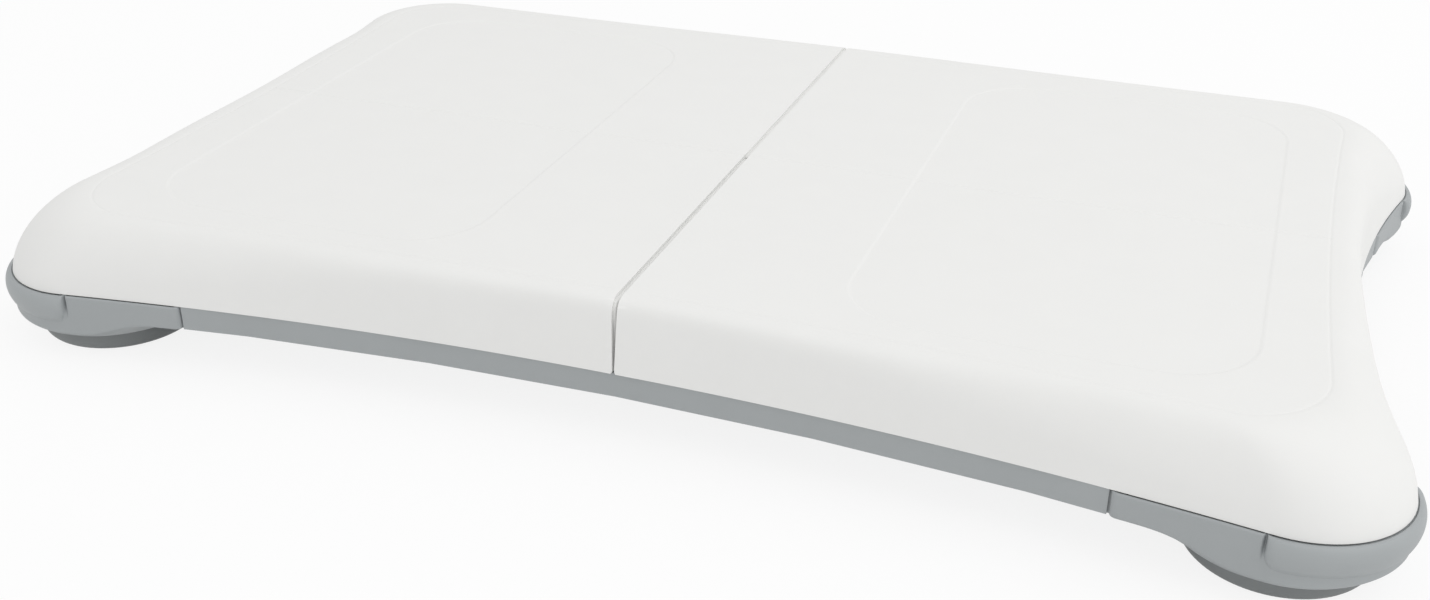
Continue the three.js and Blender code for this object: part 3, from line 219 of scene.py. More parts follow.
def piece(name, surfaces, body, finish, replaces=()):
    """Joins surfaces, given in millimetres, into one mesh and merges the points that coincide."""
    starts = np.cumsum([0] + [len(flat) for flat, _ in surfaces])
    points = np.vstack([flat for flat, _ in surfaces]) * MM
    faces = np.vstack([quad + start for (_, quad), start in zip(surfaces, starts)])
    mesh = bpy.data.meshes.new(name)
    mesh.from_pydata(points.tolist(), [], faces.tolist())
    made = bmesh.new()
    made.from_mesh(mesh)
    bmesh.ops.remove_doubles(made, verts=made.verts, dist=MERGE_DISTANCE)
    bmesh.ops.dissolve_degenerate(made, edges=made.edges, dist=MERGE_DISTANCE / 2)
    made.to_mesh(mesh)
    made.free()
    return place_piece(name, mesh, body, finish, replaces)


def soften(thing, width, angle):
    """Rounds every edge sharper than an angle, as a moulding tool leaves it."""
    bevel = thing.modifiers.new("rounded edges", "BEVEL")
    bevel.width = width
    bevel.segments = BEVEL_SEGMENTS
    bevel.limit_method = "ANGLE"
    bevel.angle_limit = math.radians(angle)
    bevel.harden_normals = True


def thicken(thing, name, thickness):
    """Gives a surface a wall, in millimetres, on its inner side."""
    wall = thing.modifiers.new(name, "SOLIDIFY")
    wall.thickness = thickness * MM
    wall.offset = -1


print("points closer than", MERGE_DISTANCE, "m are merged")

# %% [markdown]
# ### Two curves that the shapes share
# A smooth step leads from one level to another with no corner, and a bell makes a narrow ridge or
# groove. Both are plain formulas, so they work on a whole grid at once.

# %% Curve helpers


def smoothstep(x):
    """0 below 0, 1 above 1, and 3x^2 - 2x^3 between."""
    x = np.clip(x, 0, 1)
    return x * x * (3 - 2 * x)


def bell(away, width):
    """1 at 0, and exp(-(away / width)^2) on both sides."""
    return np.exp(-(away / width) ** 2)


print("half way the step is", smoothstep(0.5), "and a width away the bell is", bell(1, 1).round(3))

# %% [markdown]
# ## Writing materials as nodes
# Nodes can be placed by hand in the shader editor. Written down, their values stand side by side
# and can be compared. Four small helpers keep that short: an empty node group, a node with its
# values, one sum and one blend of two colours.

# %% Node helpers


def new_group(name, inputs, outputs):
    """An empty node group: number inputs as {name: default}, and the names of number outputs."""
    group = bpy.data.node_groups.new(name, "ShaderNodeTree")
    for label, value in inputs.items():
        socket = group.interface.new_socket(label, in_out="INPUT", socket_type="NodeSocketFloat")
        socket.default_value = value
    for label in outputs:
        group.interface.new_socket(label, in_out="OUTPUT", socket_type="NodeSocketFloat")
    return group, group.nodes.new("NodeGroupInput"), group.nodes.new("NodeGroupOutput")


def node(tree, kind, values=None, **settings):
    """A node with its settings and the values of its sockets."""
    made = tree.nodes.new(kind)
    for key, value in settings.items():
        setattr(made, key, value)
    for key, value in (values or {}).items():
        made.inputs[key].default_value = value
    return made


def sum_node(tree, operation, first, second, clamp=False):
    """One sum on two values, each a number or another node's output."""
    made = node(tree, "ShaderNodeMath", operation=operation, use_clamp=clamp)
    for k, value in enumerate((first, second)):
        if isinstance(value, (int, float)):
            made.inputs[k].default_value = value
        else:
            tree.links.new(value, made.inputs[k])
    return made.outputs[0]


def tinted(tree, mask, first, second):
    """A colour from the first to the second as a mask goes from 0 to 1. Each may be an output."""
    mix = node(tree, "ShaderNodeMix", data_type="RGBA")
    tree.links.new(mask, mix.inputs["Factor"])
    for label, value in (("A", first), ("B", second)):
        if isinstance(value, tuple):
            mix.inputs[label].default_value = (*value, 1)
        else:
            tree.links.new(value, mix.inputs[label])
    return mix.outputs["Result"]


print("node helpers: new_group, node, sum_node, tinted")

# %% [markdown]
# ## Shared surface effects
# Moulded plastic is never one flat colour. A fine spark-eroded grain breaks up the light, the tint
# drifts a little over the surface, and handling polishes some spots and pales the edges. These
# effects are node groups, so each material places them with its own values, and the groups put out
# only numbers that change over the surface.

# %% Grain and wear groups
FINE_SHARE = 0.6


def grain_group():
    """Grain: two sizes of noise make the height, and a slow noise makes the tint and polish."""
    group, source, sink = new_group(
        "moulded grain", {"Grain": 2600.0, "Patch": 55.0, "Tint": 0.03, "Polish": 0.08},
        ("Height", "Shade", "Gloss"))
    where = node(group, "ShaderNodeTexCoord")
    fine = node(group, "ShaderNodeTexNoise", {"Detail": 2.0, "Roughness": 0.6})
    patch = node(group, "ShaderNodeTexNoise", {"Detail": 4.0, "Roughness": 0.55})
    for noise, scale in ((fine, "Grain"), (patch, "Patch")):
        group.links.new(where.outputs["Object"], noise.inputs["Vector"])
        group.links.new(source.outputs[scale], noise.inputs["Scale"])
    slow = sum_node(group, "SUBTRACT", patch.outputs["Fac"], 0.5)
    quick = sum_node(group, "SUBTRACT", fine.outputs["Fac"], 0.5)
    both = sum_node(group, "ADD", slow, sum_node(group, "MULTIPLY", quick, FINE_SHARE))
    drift = sum_node(group, "MULTIPLY", both, source.outputs["Tint"])
    shade = sum_node(group, "ADD", drift, 1.0)
    gloss = sum_node(group, "MULTIPLY", slow, source.outputs["Polish"])
    group.links.new(fine.outputs["Fac"], sink.inputs["Height"])
    group.links.new(shade, sink.inputs["Shade"])
    group.links.new(gloss, sink.inputs["Gloss"])
    return group


def wear_group():
    """Wear: the sharper an outward edge, the more it is rubbed, broken up by a noise."""
    group, source, sink = new_group(
        "edge wear", {"Start": 0.52, "Reach": 0.12, "Breakup": 180.0}, ("Mask",))
    shape = node(group, "ShaderNodeNewGeometry")
    where = node(group, "ShaderNodeTexCoord")
    noise = node(group, "ShaderNodeTexNoise", {"Detail": 5.0})
    group.links.new(where.outputs["Object"], noise.inputs["Vector"])
    group.links.new(source.outputs["Breakup"], noise.inputs["Scale"])
    rise = sum_node(group, "SUBTRACT", shape.outputs["Pointiness"], source.outputs["Start"])
    worn = sum_node(group, "DIVIDE", rise, source.outputs["Reach"], clamp=True)
    mask = sum_node(group, "MULTIPLY", worn, noise.outputs["Fac"], clamp=True)
    group.links.new(mask, sink.inputs["Mask"])
    return group


grain = grain_group()
wear = wear_group()
print("groups", grain.name, "and", wear.name)

# %% [markdown]
# ## Moulded plastics and rubber
# The covers are off-white with a fine satin grain, the base and legs a cool middle grey, and the
# feet a darker grey. Each could be a material of its own from scratch, but they differ only in
# numbers, so one function makes them all from a table. The shader itself stays in the material,
# and the groups only feed its colour, roughness and bump.

# %% Moulded finishes
WORN_GAIN, WORN_LIFT = 1.12, 0.02
# name: colour, roughness, scale of the grain, its depth in millimetres, tint, polish
MOULDED = {
    "cover_white": ((0.805, 0.805, 0.792), 0.58, 2400.0, 0.010, 0.025, 0.10),
    "shell_grey": ((0.354, 0.375, 0.382), 0.5, 2000.0, 0.016, 0.05, 0.10),
    "foot_grey": ((0.205, 0.218, 0.22), 0.55, 2000.0, 0.016, 0.06, 0.12),
    "pad_rubber": ((0.07, 0.075, 0.077), 0.8, 1500.0, 0.03, 0.15, 0.15),
    "black_plastic": ((0.02, 0.021, 0.023), 0.4, 2200.0, 0.01, 0.1, 0.1),
    "button_red": ((0.52, 0.03, 0.025), 0.3, 2600.0, 0.006, 0.05, 0.08),
    "lead_sleeve": ((0.045, 0.048, 0.052), 0.45, 900.0, 0.02, 0.12, 0.12),
    "frosted_guide": ((0.70, 0.80, 0.90), 0.35, 2600.0, 0.006, 0.05, 0.15),
}


def grained(name, roughness, grain_scale, depth, tint, polish):
    """A material whose roughness and bump come from the grain group.

    It gives back the material, its tree, its shader and the group's node.
    """
    finish = bpy.data.materials.new(name)
    finish.use_nodes = True
    tree = finish.node_tree
    shader = tree.nodes["Principled BSDF"]
    texture = node(tree, "ShaderNodeGroup", node_tree=grain)
    for key, value in (("Grain", grain_scale), ("Tint", tint), ("Polish", polish)):
        texture.inputs[key].default_value = value
    tree.links.new(sum_node(tree, "ADD", texture.outputs["Gloss"], roughness, clamp=True),
                   shader.inputs["Roughness"])
    bump = node(tree, "ShaderNodeBump", {"Strength": 0.5, "Distance": depth * MM})
    tree.links.new(texture.outputs["Height"], bump.inputs["Height"])
    tree.links.new(bump.outputs["Normal"], shader.inputs["Normal"])
    return finish, tree, shader, texture


def shaded(tree, texture, colour):
    """A colour, plain or another node's output, times the grain's shade."""
    shade = node(tree, "ShaderNodeVectorMath", operation="SCALE")
    if isinstance(colour, tuple):
        shade.inputs[0].default_value = colour
    else:
        tree.links.new(colour, shade.inputs[0])
    tree.links.new(texture.outputs["Shade"], shade.inputs["Scale"])
    return shade.outputs[0]


def moulded(name):
    """A moulded finish: colour times the grain's shade, lightened where edges are worn."""
    colour, *grain_values = MOULDED[name]
    finish, tree, shader, texture = grained(name, *grain_values)
    edges = node(tree, "ShaderNodeGroup", node_tree=wear)
    worn = tuple(min(1, c * WORN_GAIN + WORN_LIFT) for c in colour)
    tree.links.new(tinted(tree, edges.outputs["Mask"], shaded(tree, texture, colour), worn),
                   shader.inputs["Base Color"])
    return finish


cover_white = moulded("cover_white")
cover_white.node_tree.nodes["Principled BSDF"].inputs["Specular IOR Level"].default_value = 0.3
shell_grey = moulded("shell_grey")
foot_grey = moulded("foot_grey")
pad_rubber = moulded("pad_rubber")
print("moulded finishes", ", ".join(MOULDED))

# %% [markdown]
# ## Metals
# The load plate is pressed steel, the load cells are milled aluminium and the contacts are plated
# strip. Metal shows direction. An image of brushed metal could give it, but a noise stretched
# along one axis needs no image and never repeats: it draws the rolling or milling marks.

# %% Metal finishes
STAIN_SHADE, MARKS_GLOSS = 0.86, 0.35
# name: colour, roughness, stretch of the marks, their scale, their depth in millimetres
METALS = {
    "pressed_steel": ((0.62, 0.63, 0.64), 0.38, (0.06, 1.0, 1.0), 700.0, 0.01),
    "milled_aluminium": ((0.78, 0.79, 0.80), 0.3, (1.0, 0.05, 1.0), 900.0, 0.01),
    "plated_strip": ((0.80, 0.79, 0.76), 0.22, (1.0, 0.08, 1.0), 1200.0, 0.004),
    "screw_steel": ((0.55, 0.55, 0.56), 0.32, (1.0, 1.0, 0.3), 1500.0, 0.006),
}


def metal(name):
    """A metal finish: stretched noise for its marks, and a slow noise for its stains."""
    colour, roughness, stretch, scale, depth = METALS[name]
    finish = bpy.data.materials.new(name)
    finish.use_nodes = True
    tree = finish.node_tree
    shader = tree.nodes["Principled BSDF"]
    shader.inputs["Metallic"].default_value = 1.0
    where = node(tree, "ShaderNodeTexCoord")
    mapping = node(tree, "ShaderNodeMapping", {"Scale": stretch})
    tree.links.new(where.outputs["Object"], mapping.inputs["Vector"])
    marks = node(tree, "ShaderNodeTexNoise", {"Scale": scale, "Detail": 6.0, "Roughness": 0.7})
    tree.links.new(mapping.outputs["Vector"], marks.inputs["Vector"])
    stains = node(tree, "ShaderNodeTexNoise", {"Scale": 40.0, "Detail": 5.0})
    tree.links.new(where.outputs["Object"], stains.inputs["Vector"])
    stained = tuple(c * STAIN_SHADE for c in colour)
    tree.links.new(tinted(tree, stains.outputs["Fac"], stained, colour),
                   shader.inputs["Base Color"])
    centred = sum_node(tree, "SUBTRACT", marks.outputs["Fac"], 0.5)
    spread = sum_node(tree, "MULTIPLY", centred, MARKS_GLOSS)
    tree.links.new(sum_node(tree, "ADD", spread, roughness, clamp=True),
                   shader.inputs["Roughness"])
    bump = node(tree, "ShaderNodeBump", {"Strength": 0.4, "Distance": depth * MM})
    tree.links.new(marks.outputs["Fac"], bump.inputs["Height"])
    tree.links.new(bump.outputs["Normal"], shader.inputs["Normal"])
    return finish


plated_strip, screw_steel = metal("plated_strip"), metal("screw_steel")
print("metals", ", ".join(METALS))

# %% [markdown]
# ## Circuit board, cells and light guide
# A circuit board is green lacquer over copper tracks, which show as paler lines on a square grid.
# A dry cell is a steel can in a printed sleeve that stops short of both ends, here a plain dark
# sleeve with a copper-coloured band at the plus end. The light guide is clear plastic with a
# frosted face. These patterns could be painted on an unwrapped surface. Read from the object's own
# coordinates, they need no unwrapping.

# %% Patterned finishes
LACQUER, TRACK = (0.012, 0.14, 0.06), (0.03, 0.24, 0.10)
TRACK_SCALE, TRACK_FOLDS, TRACK_EDGE = 420.0, 3.0, 0.3
SLEEVE, BAND, CAN = (0.018, 0.024, 0.045), (0.45, 0.22, 0.10), (0.72, 0.72, 0.70)
SLEEVE_END, BAND_START, BAND_METALLIC = 23.6, 11.0, 0.6
GUIDE_CLEARNESS = 0.5


def circuit_finish():
    """Tracks: the distance to points on a square metric, folded into even, paler bands."""
    finish, tree, shader, texture = grained("green_circuit", 0.32, 3000.0, 0.004, 0.1, 0.1)
    where = node(tree, "ShaderNodeTexCoord")
    cells = node(tree, "ShaderNodeTexVoronoi", {"Scale": TRACK_SCALE}, distance="MANHATTAN",
                 feature="F1")
    tree.links.new(where.outputs["Object"], cells.inputs["Vector"])
    many = sum_node(tree, "MULTIPLY", cells.outputs["Distance"], TRACK_FOLDS)
    wave = sum_node(tree, "PINGPONG", many, 0.5)
    tracks = sum_node(tree, "GREATER_THAN", wave, TRACK_EDGE)
    tree.links.new(shaded(tree, texture, tinted(tree, tracks, LACQUER, TRACK)),
                   shader.inputs["Base Color"])
    return finish


def cell_finish(name, plus_side):
    """A cell along x: bare can beyond the sleeve, a band at the plus end, and the dark sleeve."""
    finish, tree, shader, texture = grained(name, 0.3, 1800.0, 0.003, 0.08, 0.08)
    where = node(tree, "ShaderNodeTexCoord")
    parts = node(tree, "ShaderNodeSeparateXYZ")
    tree.links.new(where.outputs["Object"], parts.inputs[0])
    along = sum_node(tree, "MULTIPLY", parts.outputs["X"], plus_side / MM)
    from_middle = sum_node(tree, "ABSOLUTE", along, 0.0)
    bare = sum_node(tree, "GREATER_THAN", from_middle, SLEEVE_END)
    band = sum_node(tree, "GREATER_THAN", along, BAND_START)
    colour = tinted(tree, bare, tinted(tree, band, SLEEVE, BAND), CAN)
    tree.links.new(shaded(tree, texture, colour), shader.inputs["Base Color"])
    foil = sum_node(tree, "MULTIPLY", band, BAND_METALLIC)
    tree.links.new(sum_node(tree, "MAXIMUM", bare, foil), shader.inputs["Metallic"])
    return finish


cell_plus_left = cell_finish("cell_plus_left", -1.0)
cell_plus_right = cell_finish("cell_plus_right", 1.0)
frosted_guide = moulded("frosted_guide")
guide_shader = frosted_guide.node_tree.nodes["Principled BSDF"]
guide_shader.inputs["Transmission Weight"].default_value = GUIDE_CLEARNESS
print("cells", cell_plus_left.name, cell_plus_right.name, "and guide", frosted_guide.name)

# %% [markdown]
# ## The board's outline
# Seen from above, the board has round corners, a hollow near side, slightly hollow short sides and
# a straight far side. A traced line would show every wobble of the hand, so each hollow side is
# one wide arc that touches the two corner arcs. The same rule draws the hem of the covers and the
# flat part of the top, so the surface between them can be spun from point to point. The points
# crowd together at the middle of the short sides, where a fine line will cross the top.

# %% Plan of the board
HEM = {"half_length": 252.2, "half_depth": 154.7, "radius": 33.5, "near_dip": 18.0,
       "side_dip": 18.0}
FLAT = {"half_length": 225.0, "half_depth": 138.0, "radius": 30.0, "near_dip": 9.0,
        "side_dip": 2.6}
FLAT_SHIFT = (0.0, 1.0)
TOP_Z, HEM_Z = 53.2, 26.7
CROWD = np.array([0.0, 0.22, 0.45, 0.7, 1.0, 1.6, 2.8])
COUNTS = (46, 14, 40, 46)
CORNER, SIDE, FAR = COUNTS[1:]


def arc(cx, cy, radius, start, end, shares):
    """Points on a circle at start + share * (end - start), angles in degrees."""
    angle = np.radians(start + (end - start) * shares)
    return np.stack([cx + radius * np.cos(angle), cy + radius * np.sin(angle)], -1)


def hollow_radius(reach, radius, dip):
    """Radius of the arc between two corner arcs: (reach^2 + (r - dip)^2 - r^2) / (2 dip)."""
    return (reach ** 2 + (radius - dip) ** 2 - radius ** 2) / (2 * dip)


def even(count):
    """Shares from 0 up to, and without, 1."""
    return np.arange(count) / count


def crowded(count, reach):
    """Places from -reach to reach that crowd at 0: fixed small steps, then even steps."""
    steps = np.linspace(CROWD[-1], reach, count // 2 - len(CROWD) + 2)[1:]
    half = np.concatenate([CROWD, steps])
    return np.concatenate([-half[:0:-1], half])


def half_outline(plan, inset, counts):
    """The right half of the outline, from the middle of the near side to that of the far side."""
    near, corner, side, far = counts
    radius, hl, hd = (plan[key] - inset for key in ("radius", "half_length", "half_depth"))
    cx, cy = hl - radius, hd - radius
    near_radius = hollow_radius(cx, radius, plan["near_dip"])
    side_radius = hollow_radius(cy, radius, plan["side_dip"])
    near_turn = math.degrees(math.asin(cx / (near_radius + radius)))
    side_turn = math.degrees(math.asin(cy / (side_radius + radius)))
    side_y = crowded(side, side_radius * math.sin(math.radians(side_turn)))
    side_x = hl - plan["side_dip"] + side_radius - np.sqrt(side_radius ** 2 - side_y ** 2)
    near_y = -hd + plan["near_dip"] - near_radius
    return np.vstack([
        arc(0, near_y, near_radius, 90, 90 - near_turn, even(near)),
        arc(cx, -cy, radius, -90 - near_turn, -45, even(corner)),
        arc(cx, -cy, radius, -45, side_turn, even(corner)),
        np.stack([side_x, side_y], -1)[:-1],
        arc(cx, cy, radius, -side_turn, 45, even(corner)),
        arc(cx, cy, radius, 45, 90, even(corner)),
        np.stack([cx * (1 - np.linspace(0, 1, far + 1)), np.full(far + 1, hd)], -1),
    ])


flat_line = half_outline(FLAT, 0, COUNTS) + FLAT_SHIFT
hem_line = half_outline(HEM, 0, COUNTS)
print("outline points", len(flat_line), "reach", (hem_line.max(0) * 2).round(1))

# %% [markdown]
# ## The two top covers
# Each cover is one moulding. From the flat top a shoulder falls to a steeper flank. Along the near
# side the shoulder is tight and the flank nearly upright, and round the corners, where the surface
# is wider, both are soft. A bevel could round the edge, but it keeps one shape all round. So a
# Bezier curve draws the section at every point of the outline, with handles that lengthen, and so
# turn more tightly, where the reach from flat to hem is short.

# %% Section of the shoulder and flank
SHOULDER_ROWS, FLANK_ROWS, FLANK_CROWDING = 22, 9, 2.2
SOFT_HANDLES, TIGHT_HANDLES = np.array([0.46, 0.46]), np.array([0.80, 0.68])
SOFT_SLOPE, TIGHT_SLOPE = 0.23, 0.11
SOFT_REACH, TIGHT_REACH = 22, 12
DROP_PER_REACH, DROP_LIMIT = 0.85, 0.96
GAP_Z = [HEM_Z, HEM_Z + 0.2, HEM_Z + 0.7, HEM_Z + 1.3, 50.2]
GAP_HALF = [0.95, 0.68, 0.48, 0.4, 1.0]
SEAM_EASE = 20


def seam_gap(z):
    """Half of the covers' gap: 1 mm on top, 0.4 mm low on the flank, and round at the hem."""
    return np.interp(z, GAP_Z, GAP_HALF)


def section_grid(flat, hem, fall):
    """Rows from the flat outline to the hem: a Bezier shoulder, then a straight flank."""
    reach = np.linalg.norm(hem - flat, axis=1)
    tight = smoothstep((SOFT_REACH - reach) / (SOFT_REACH - TIGHT_REACH))
    slope = SOFT_SLOPE + (TIGHT_SLOPE - SOFT_SLOPE) * tight
    first, last = (SOFT_HANDLES[k] + (TIGHT_HANDLES - SOFT_HANDLES)[k] * tight for k in (0, 1))
    drop = np.minimum(DROP_PER_REACH * reach, DROP_LIMIT * fall)
    run = reach - slope * (fall - drop)
    t = np.linspace(0, 1, SHOULDER_ROWS + 1)[:, None]
    out = (3 * t * (1 - t) ** 2 * first * run
           + 3 * t ** 2 * (1 - t) * (run - slope * last * drop) + t ** 3 * run)
    down = 3 * t ** 2 * (1 - t) * (1 - last) * drop + t ** 3 * drop
    s = 1 - (1 - np.linspace(0, 1, FLANK_ROWS + 1)[1:, None]) ** FLANK_CROWDING
    out = np.vstack([out, run + s * (reach - run)])
    down = np.vstack([down, drop + s * (fall - drop)])
    way = (hem - flat) / reach[:, None]
    plan = flat[None] + way[None] * out[..., None]
    return np.concatenate([plan, (TOP_Z - down)[..., None]], -1)


def open_seam(points):
    """Moves points near the middle sideways, so that the surface ends at the seam's gap."""
    x, gap = points[..., 0], seam_gap(points[..., 2])
    moved = points.copy()
    moved[..., 0] = np.where(x < SEAM_EASE, x + gap * (1 - x / SEAM_EASE), x)
    return moved


flank = open_seam(section_grid(flat_line, hem_line, TOP_Z - HEM_Z))
print("flank grid", flank.shape)

# %% [markdown]
# ### The relief of the flat top
# Each half of the top carries a standing zone, a rounded rectangle that lies a quarter of a
# millimetre lower. A fine groove follows the border of the flat, and another crosses the middle
# from end to end. They could be cut with booleans, but all three are so shallow that a height
# worked out at each point is enough: no edge has to be cut.

# %% Height of the top
ZONE_X, ZONE_Y, ZONE_RADIUS = (68.7, 201.9), 118.2, 28.0
ZONE_DEPTH, ZONE_STEP = 0.28, 1.3
BORDER_INSET, BORDER_DEPTH, BORDER_WIDTH = 1.9, 0.20, 0.45
BORDER_START, BORDER_EASE = 2, 4
MIDDLE_DEPTH, MIDDLE_WIDTH, MIDDLE_END, MIDDLE_EASE = 0.24, 0.8, 222.0, 2


def zone_distance(x, y):
    """Distance outside (positive) or inside (negative) the zone's rounded rectangle."""
    mid, half = sum(ZONE_X) / 2, (ZONE_X[1] - ZONE_X[0]) / 2
    qx = np.abs(x - mid) - (half - ZONE_RADIUS)
    qy = np.abs(y) - (ZONE_Y - ZONE_RADIUS)
    inner = np.minimum(np.maximum(qx, qy), 0)
    return np.hypot(np.maximum(qx, 0), np.maximum(qy, 0)) + inner - ZONE_RADIUS


def top_height(x, y, border):
    """Height of the top: the zone's step, a groove along the border and one across the middle."""
    step = smoothstep(0.5 - zone_distance(x, y) / ZONE_STEP) * ZONE_DEPTH
    begun = smoothstep((x - BORDER_START) / BORDER_EASE)
    edge = BORDER_DEPTH * bell(border - BORDER_INSET, BORDER_WIDTH) * begun
    across = 1 - smoothstep(np.abs(y) / MIDDLE_WIDTH)
    middle = MIDDLE_DEPTH * across * smoothstep((MIDDLE_END - x) / MIDDLE_EASE)
    return TOP_Z - step - edge - middle


def distance_to_line(points, line):
    """Shortest distance from each point to a line of straight pieces."""
    start, step = line[:-1], np.diff(line, axis=0)
    away = points[..., None, :] - start
    along = np.clip((away * step).sum(-1) / (step ** 2).sum(-1), 0, 1)
    return np.linalg.norm(away - along[..., None] * step, axis=-1).min(-1)


print("zone", round(ZONE_X[1] - ZONE_X[0], 1), "by", 2 * ZONE_Y, "mm")

# %% [markdown]
# ### Two loops with matching points
# Straight rows and columns would run across the zone's round corners and leave steps there. So the
# rim of one half and the loop round its standing zone get the same number of points, side for
# side, and rows of faces can run from one to the other. Both crowd their points at the groove
# across the middle.

# %% Rim and zone loops
SEAM = SIDE + 2 * CORNER
FAR_SIDE, INNER_CORNER = FAR + CORNER, 10
SEAM_STEP, SEAM_CROWD = 5.0, 90.0


def seam_places():
    """Places along the seam, far end first, in step with the zone's straight side."""
    near_end, far_end = flat_line[0, 1], flat_line[-1, 1]
    return np.concatenate([
        [far_end], np.linspace(far_end - SEAM_STEP, SEAM_CROWD, CORNER)[:-1],
        crowded(SIDE, SEAM_CROWD)[::-1],
        np.linspace(-SEAM_CROWD, near_end + SEAM_STEP, CORNER)[1:], [near_end]])


def zone_loop():
    """Near, right, far and seam side of the zone, each between the middles of two corners."""
    (x0, x1), y1, r = ZONE_X, ZONE_Y, ZONE_RADIUS
    steps = FAR_SIDE - CORNER - INNER_CORNER + 1
    far = np.vstack([
        arc(x1 - r, y1 - r, r, 45, 90, even(CORNER)),
        np.stack([np.linspace(x1 - r, x0 + r, steps), np.full(steps, y1)], -1)[:-1],
        arc(x0 + r, y1 - r, r, 90, 135, np.linspace(0, 1, INNER_CORNER + 1)),
    ])
    straight = crowded(SIDE, y1 - r)
    side = np.vstack([
        arc(x1 - r, -y1 + r, r, -45, 0, even(CORNER)),
        np.stack([np.full(SIDE + 1, x1), straight], -1)[:-1],
        arc(x1 - r, y1 - r, r, 0, 45, np.linspace(0, 1, CORNER + 1)),
    ])
    near = far[::-1] * (1, -1)
    seam = (side * (-1, 1) + (x0 + x1, 0))[::-1]
    return np.vstack([near[:-1], side[:-1], far[:-1], seam[:-1]])


rim = open_seam(np.column_stack([flat_line, np.full(len(flat_line), TOP_Z)]))[:, :2]
rim = np.vstack([rim, np.stack([np.full(SEAM + 1, 1.0), seam_places()], -1)[1:-1]])
loop = zone_loop()
print("rim", len(rim), "zone loop", len(loop))

# %% [markdown]
# ### Rows between the loops, and a patch inside
# Rings parallel to the rim carry the border groove, rings parallel to the zone carry its step, and
# plain rows join them. Inside the zone a Coons patch fills the last ring: each point blends the
# two pairs of opposite sides, so the patch meets the ring point for point.

# %% Grids of the top
RIM_OFFSETS = (0.0, 0.9, 1.3, 1.6, 1.9, 2.2, 2.5, 3.0)
ZONE_OFFSETS = (-2.2, -1.0, -0.65, -0.3, 0.0, 0.3, 0.65, 1.0, 2.0)
BETWEEN_SHARES = (0.12, 0.3, 0.5, 0.72, 0.9)
SHARPEST_MITRE = 0.6


def ring_offset(line, distance):
    """A closed loop moved inwards: each point goes along the mitred mean of two edge normals."""
    ahead_edge = np.roll(line, -1, axis=0) - line
    ahead_edge /= np.linalg.norm(ahead_edge, axis=1)[:, None]
    inward = np.stack([-ahead_edge[:, 1], ahead_edge[:, 0]], -1)
    both = inward + np.roll(inward, 1, axis=0)
    both /= np.linalg.norm(both, axis=1)[:, None]
    mitre = 1 / np.maximum((both * inward).sum(1), SHARPEST_MITRE)
    return line + both * mitre[:, None] * distance


def coons(ring):
    """Blend of opposite sides minus the blend of corners, over shares u in x and v in y."""
    a, b, c = FAR_SIDE, FAR_SIDE + SEAM, 2 * FAR_SIDE + SEAM
    near, side, far = ring[:a + 1], ring[a:b + 1], ring[b:c + 1][::-1]
    seam = np.vstack([ring[c:], ring[:1]])[::-1]
    u = ((near[:, 0] - near[0, 0]) / (near[-1, 0] - near[0, 0]))[:, None, None]
    v = ((side[:, 1] - side[0, 1]) / (side[-1, 1] - side[0, 1]))[None, :, None]
    edges = (1 - v) * near[:, None] + v * far[:, None] + (1 - u) * seam[None] + u * side[None]
    corners = ((1 - u) * ((1 - v) * near[0] + v * far[0])
               + u * ((1 - v) * near[-1] + v * far[-1]))
    return edges - corners


def raised(plan):
    """A plan grid with the height of the top at every point."""
    height = top_height(plan[..., 0], plan[..., 1], distance_to_line(plan, flat_line))
    return np.concatenate([plan, height[..., None]], -1)


rim_rings = [ring_offset(rim, distance) for distance in RIM_OFFSETS]
zone_rings = [ring_offset(loop, distance) for distance in ZONE_OFFSETS]
between = [rim_rings[-1] + (zone_rings[0] - rim_rings[-1]) * share for share in BETWEEN_SHARES]
top_ring = raised(np.stack(rim_rings + between + zone_rings))
top_ring[0, :, 2] = TOP_Z
top_patch = raised(coons(zone_rings[-1]))
lowest = top_patch[..., 2].min().round(3)
print("top rings", top_ring.shape, "patch", top_patch.shape, "lowest", lowest)

# %% [markdown]
# ### Building the covers
# The flank, the rings and the patch make one surface, and its mirror image is the other cover. A
# second set of grids could draw the inner face. Solidify does it with one number, the wall of the
# real moulding, and a narrow bevel rounds the edges at the seam and the hem.

# %% Covers
MIRROR_X = np.array([-1.0, 1.0, 1.0])
INSIDE_COVER = (130.0, 0.0, 20.0)
COVER_WALL, COVER_ROUNDING, COVER_ANGLE = 2.8, 0.35, 50
cover_surfaces = [outward(flank, inside=INSIDE_COVER),
                  outward(top_ring, wrap_cols=True, inside=INSIDE_COVER),
                  outward(top_patch, inside=INSIDE_COVER)]
mirrored = [(flat * MIRROR_X, faces[:, ::-1]) for flat, faces in cover_surfaces]
for name, surfaces in (("cover_left", mirrored), ("cover_right", cover_surfaces)):
    cover = piece(name, surfaces, "board", cover_white, replaces=["top_" + name])
    thicken(cover, "wall", COVER_WALL)
    soften(cover, COVER_ROUNDING * MM, COVER_ANGLE)

# %% [markdown]
# ### The tongue under the seam
# Light would shine through a plain gap, so each cover carries a tongue that reaches under the
# other for half of the seam's length. It could be part of the cover's grid, but as a strip of its
# own it can follow the section of the board at its own depth. It lies deeper on the flank. The
# near one drops away beside the other cover's edge, where the fine dark line shows.

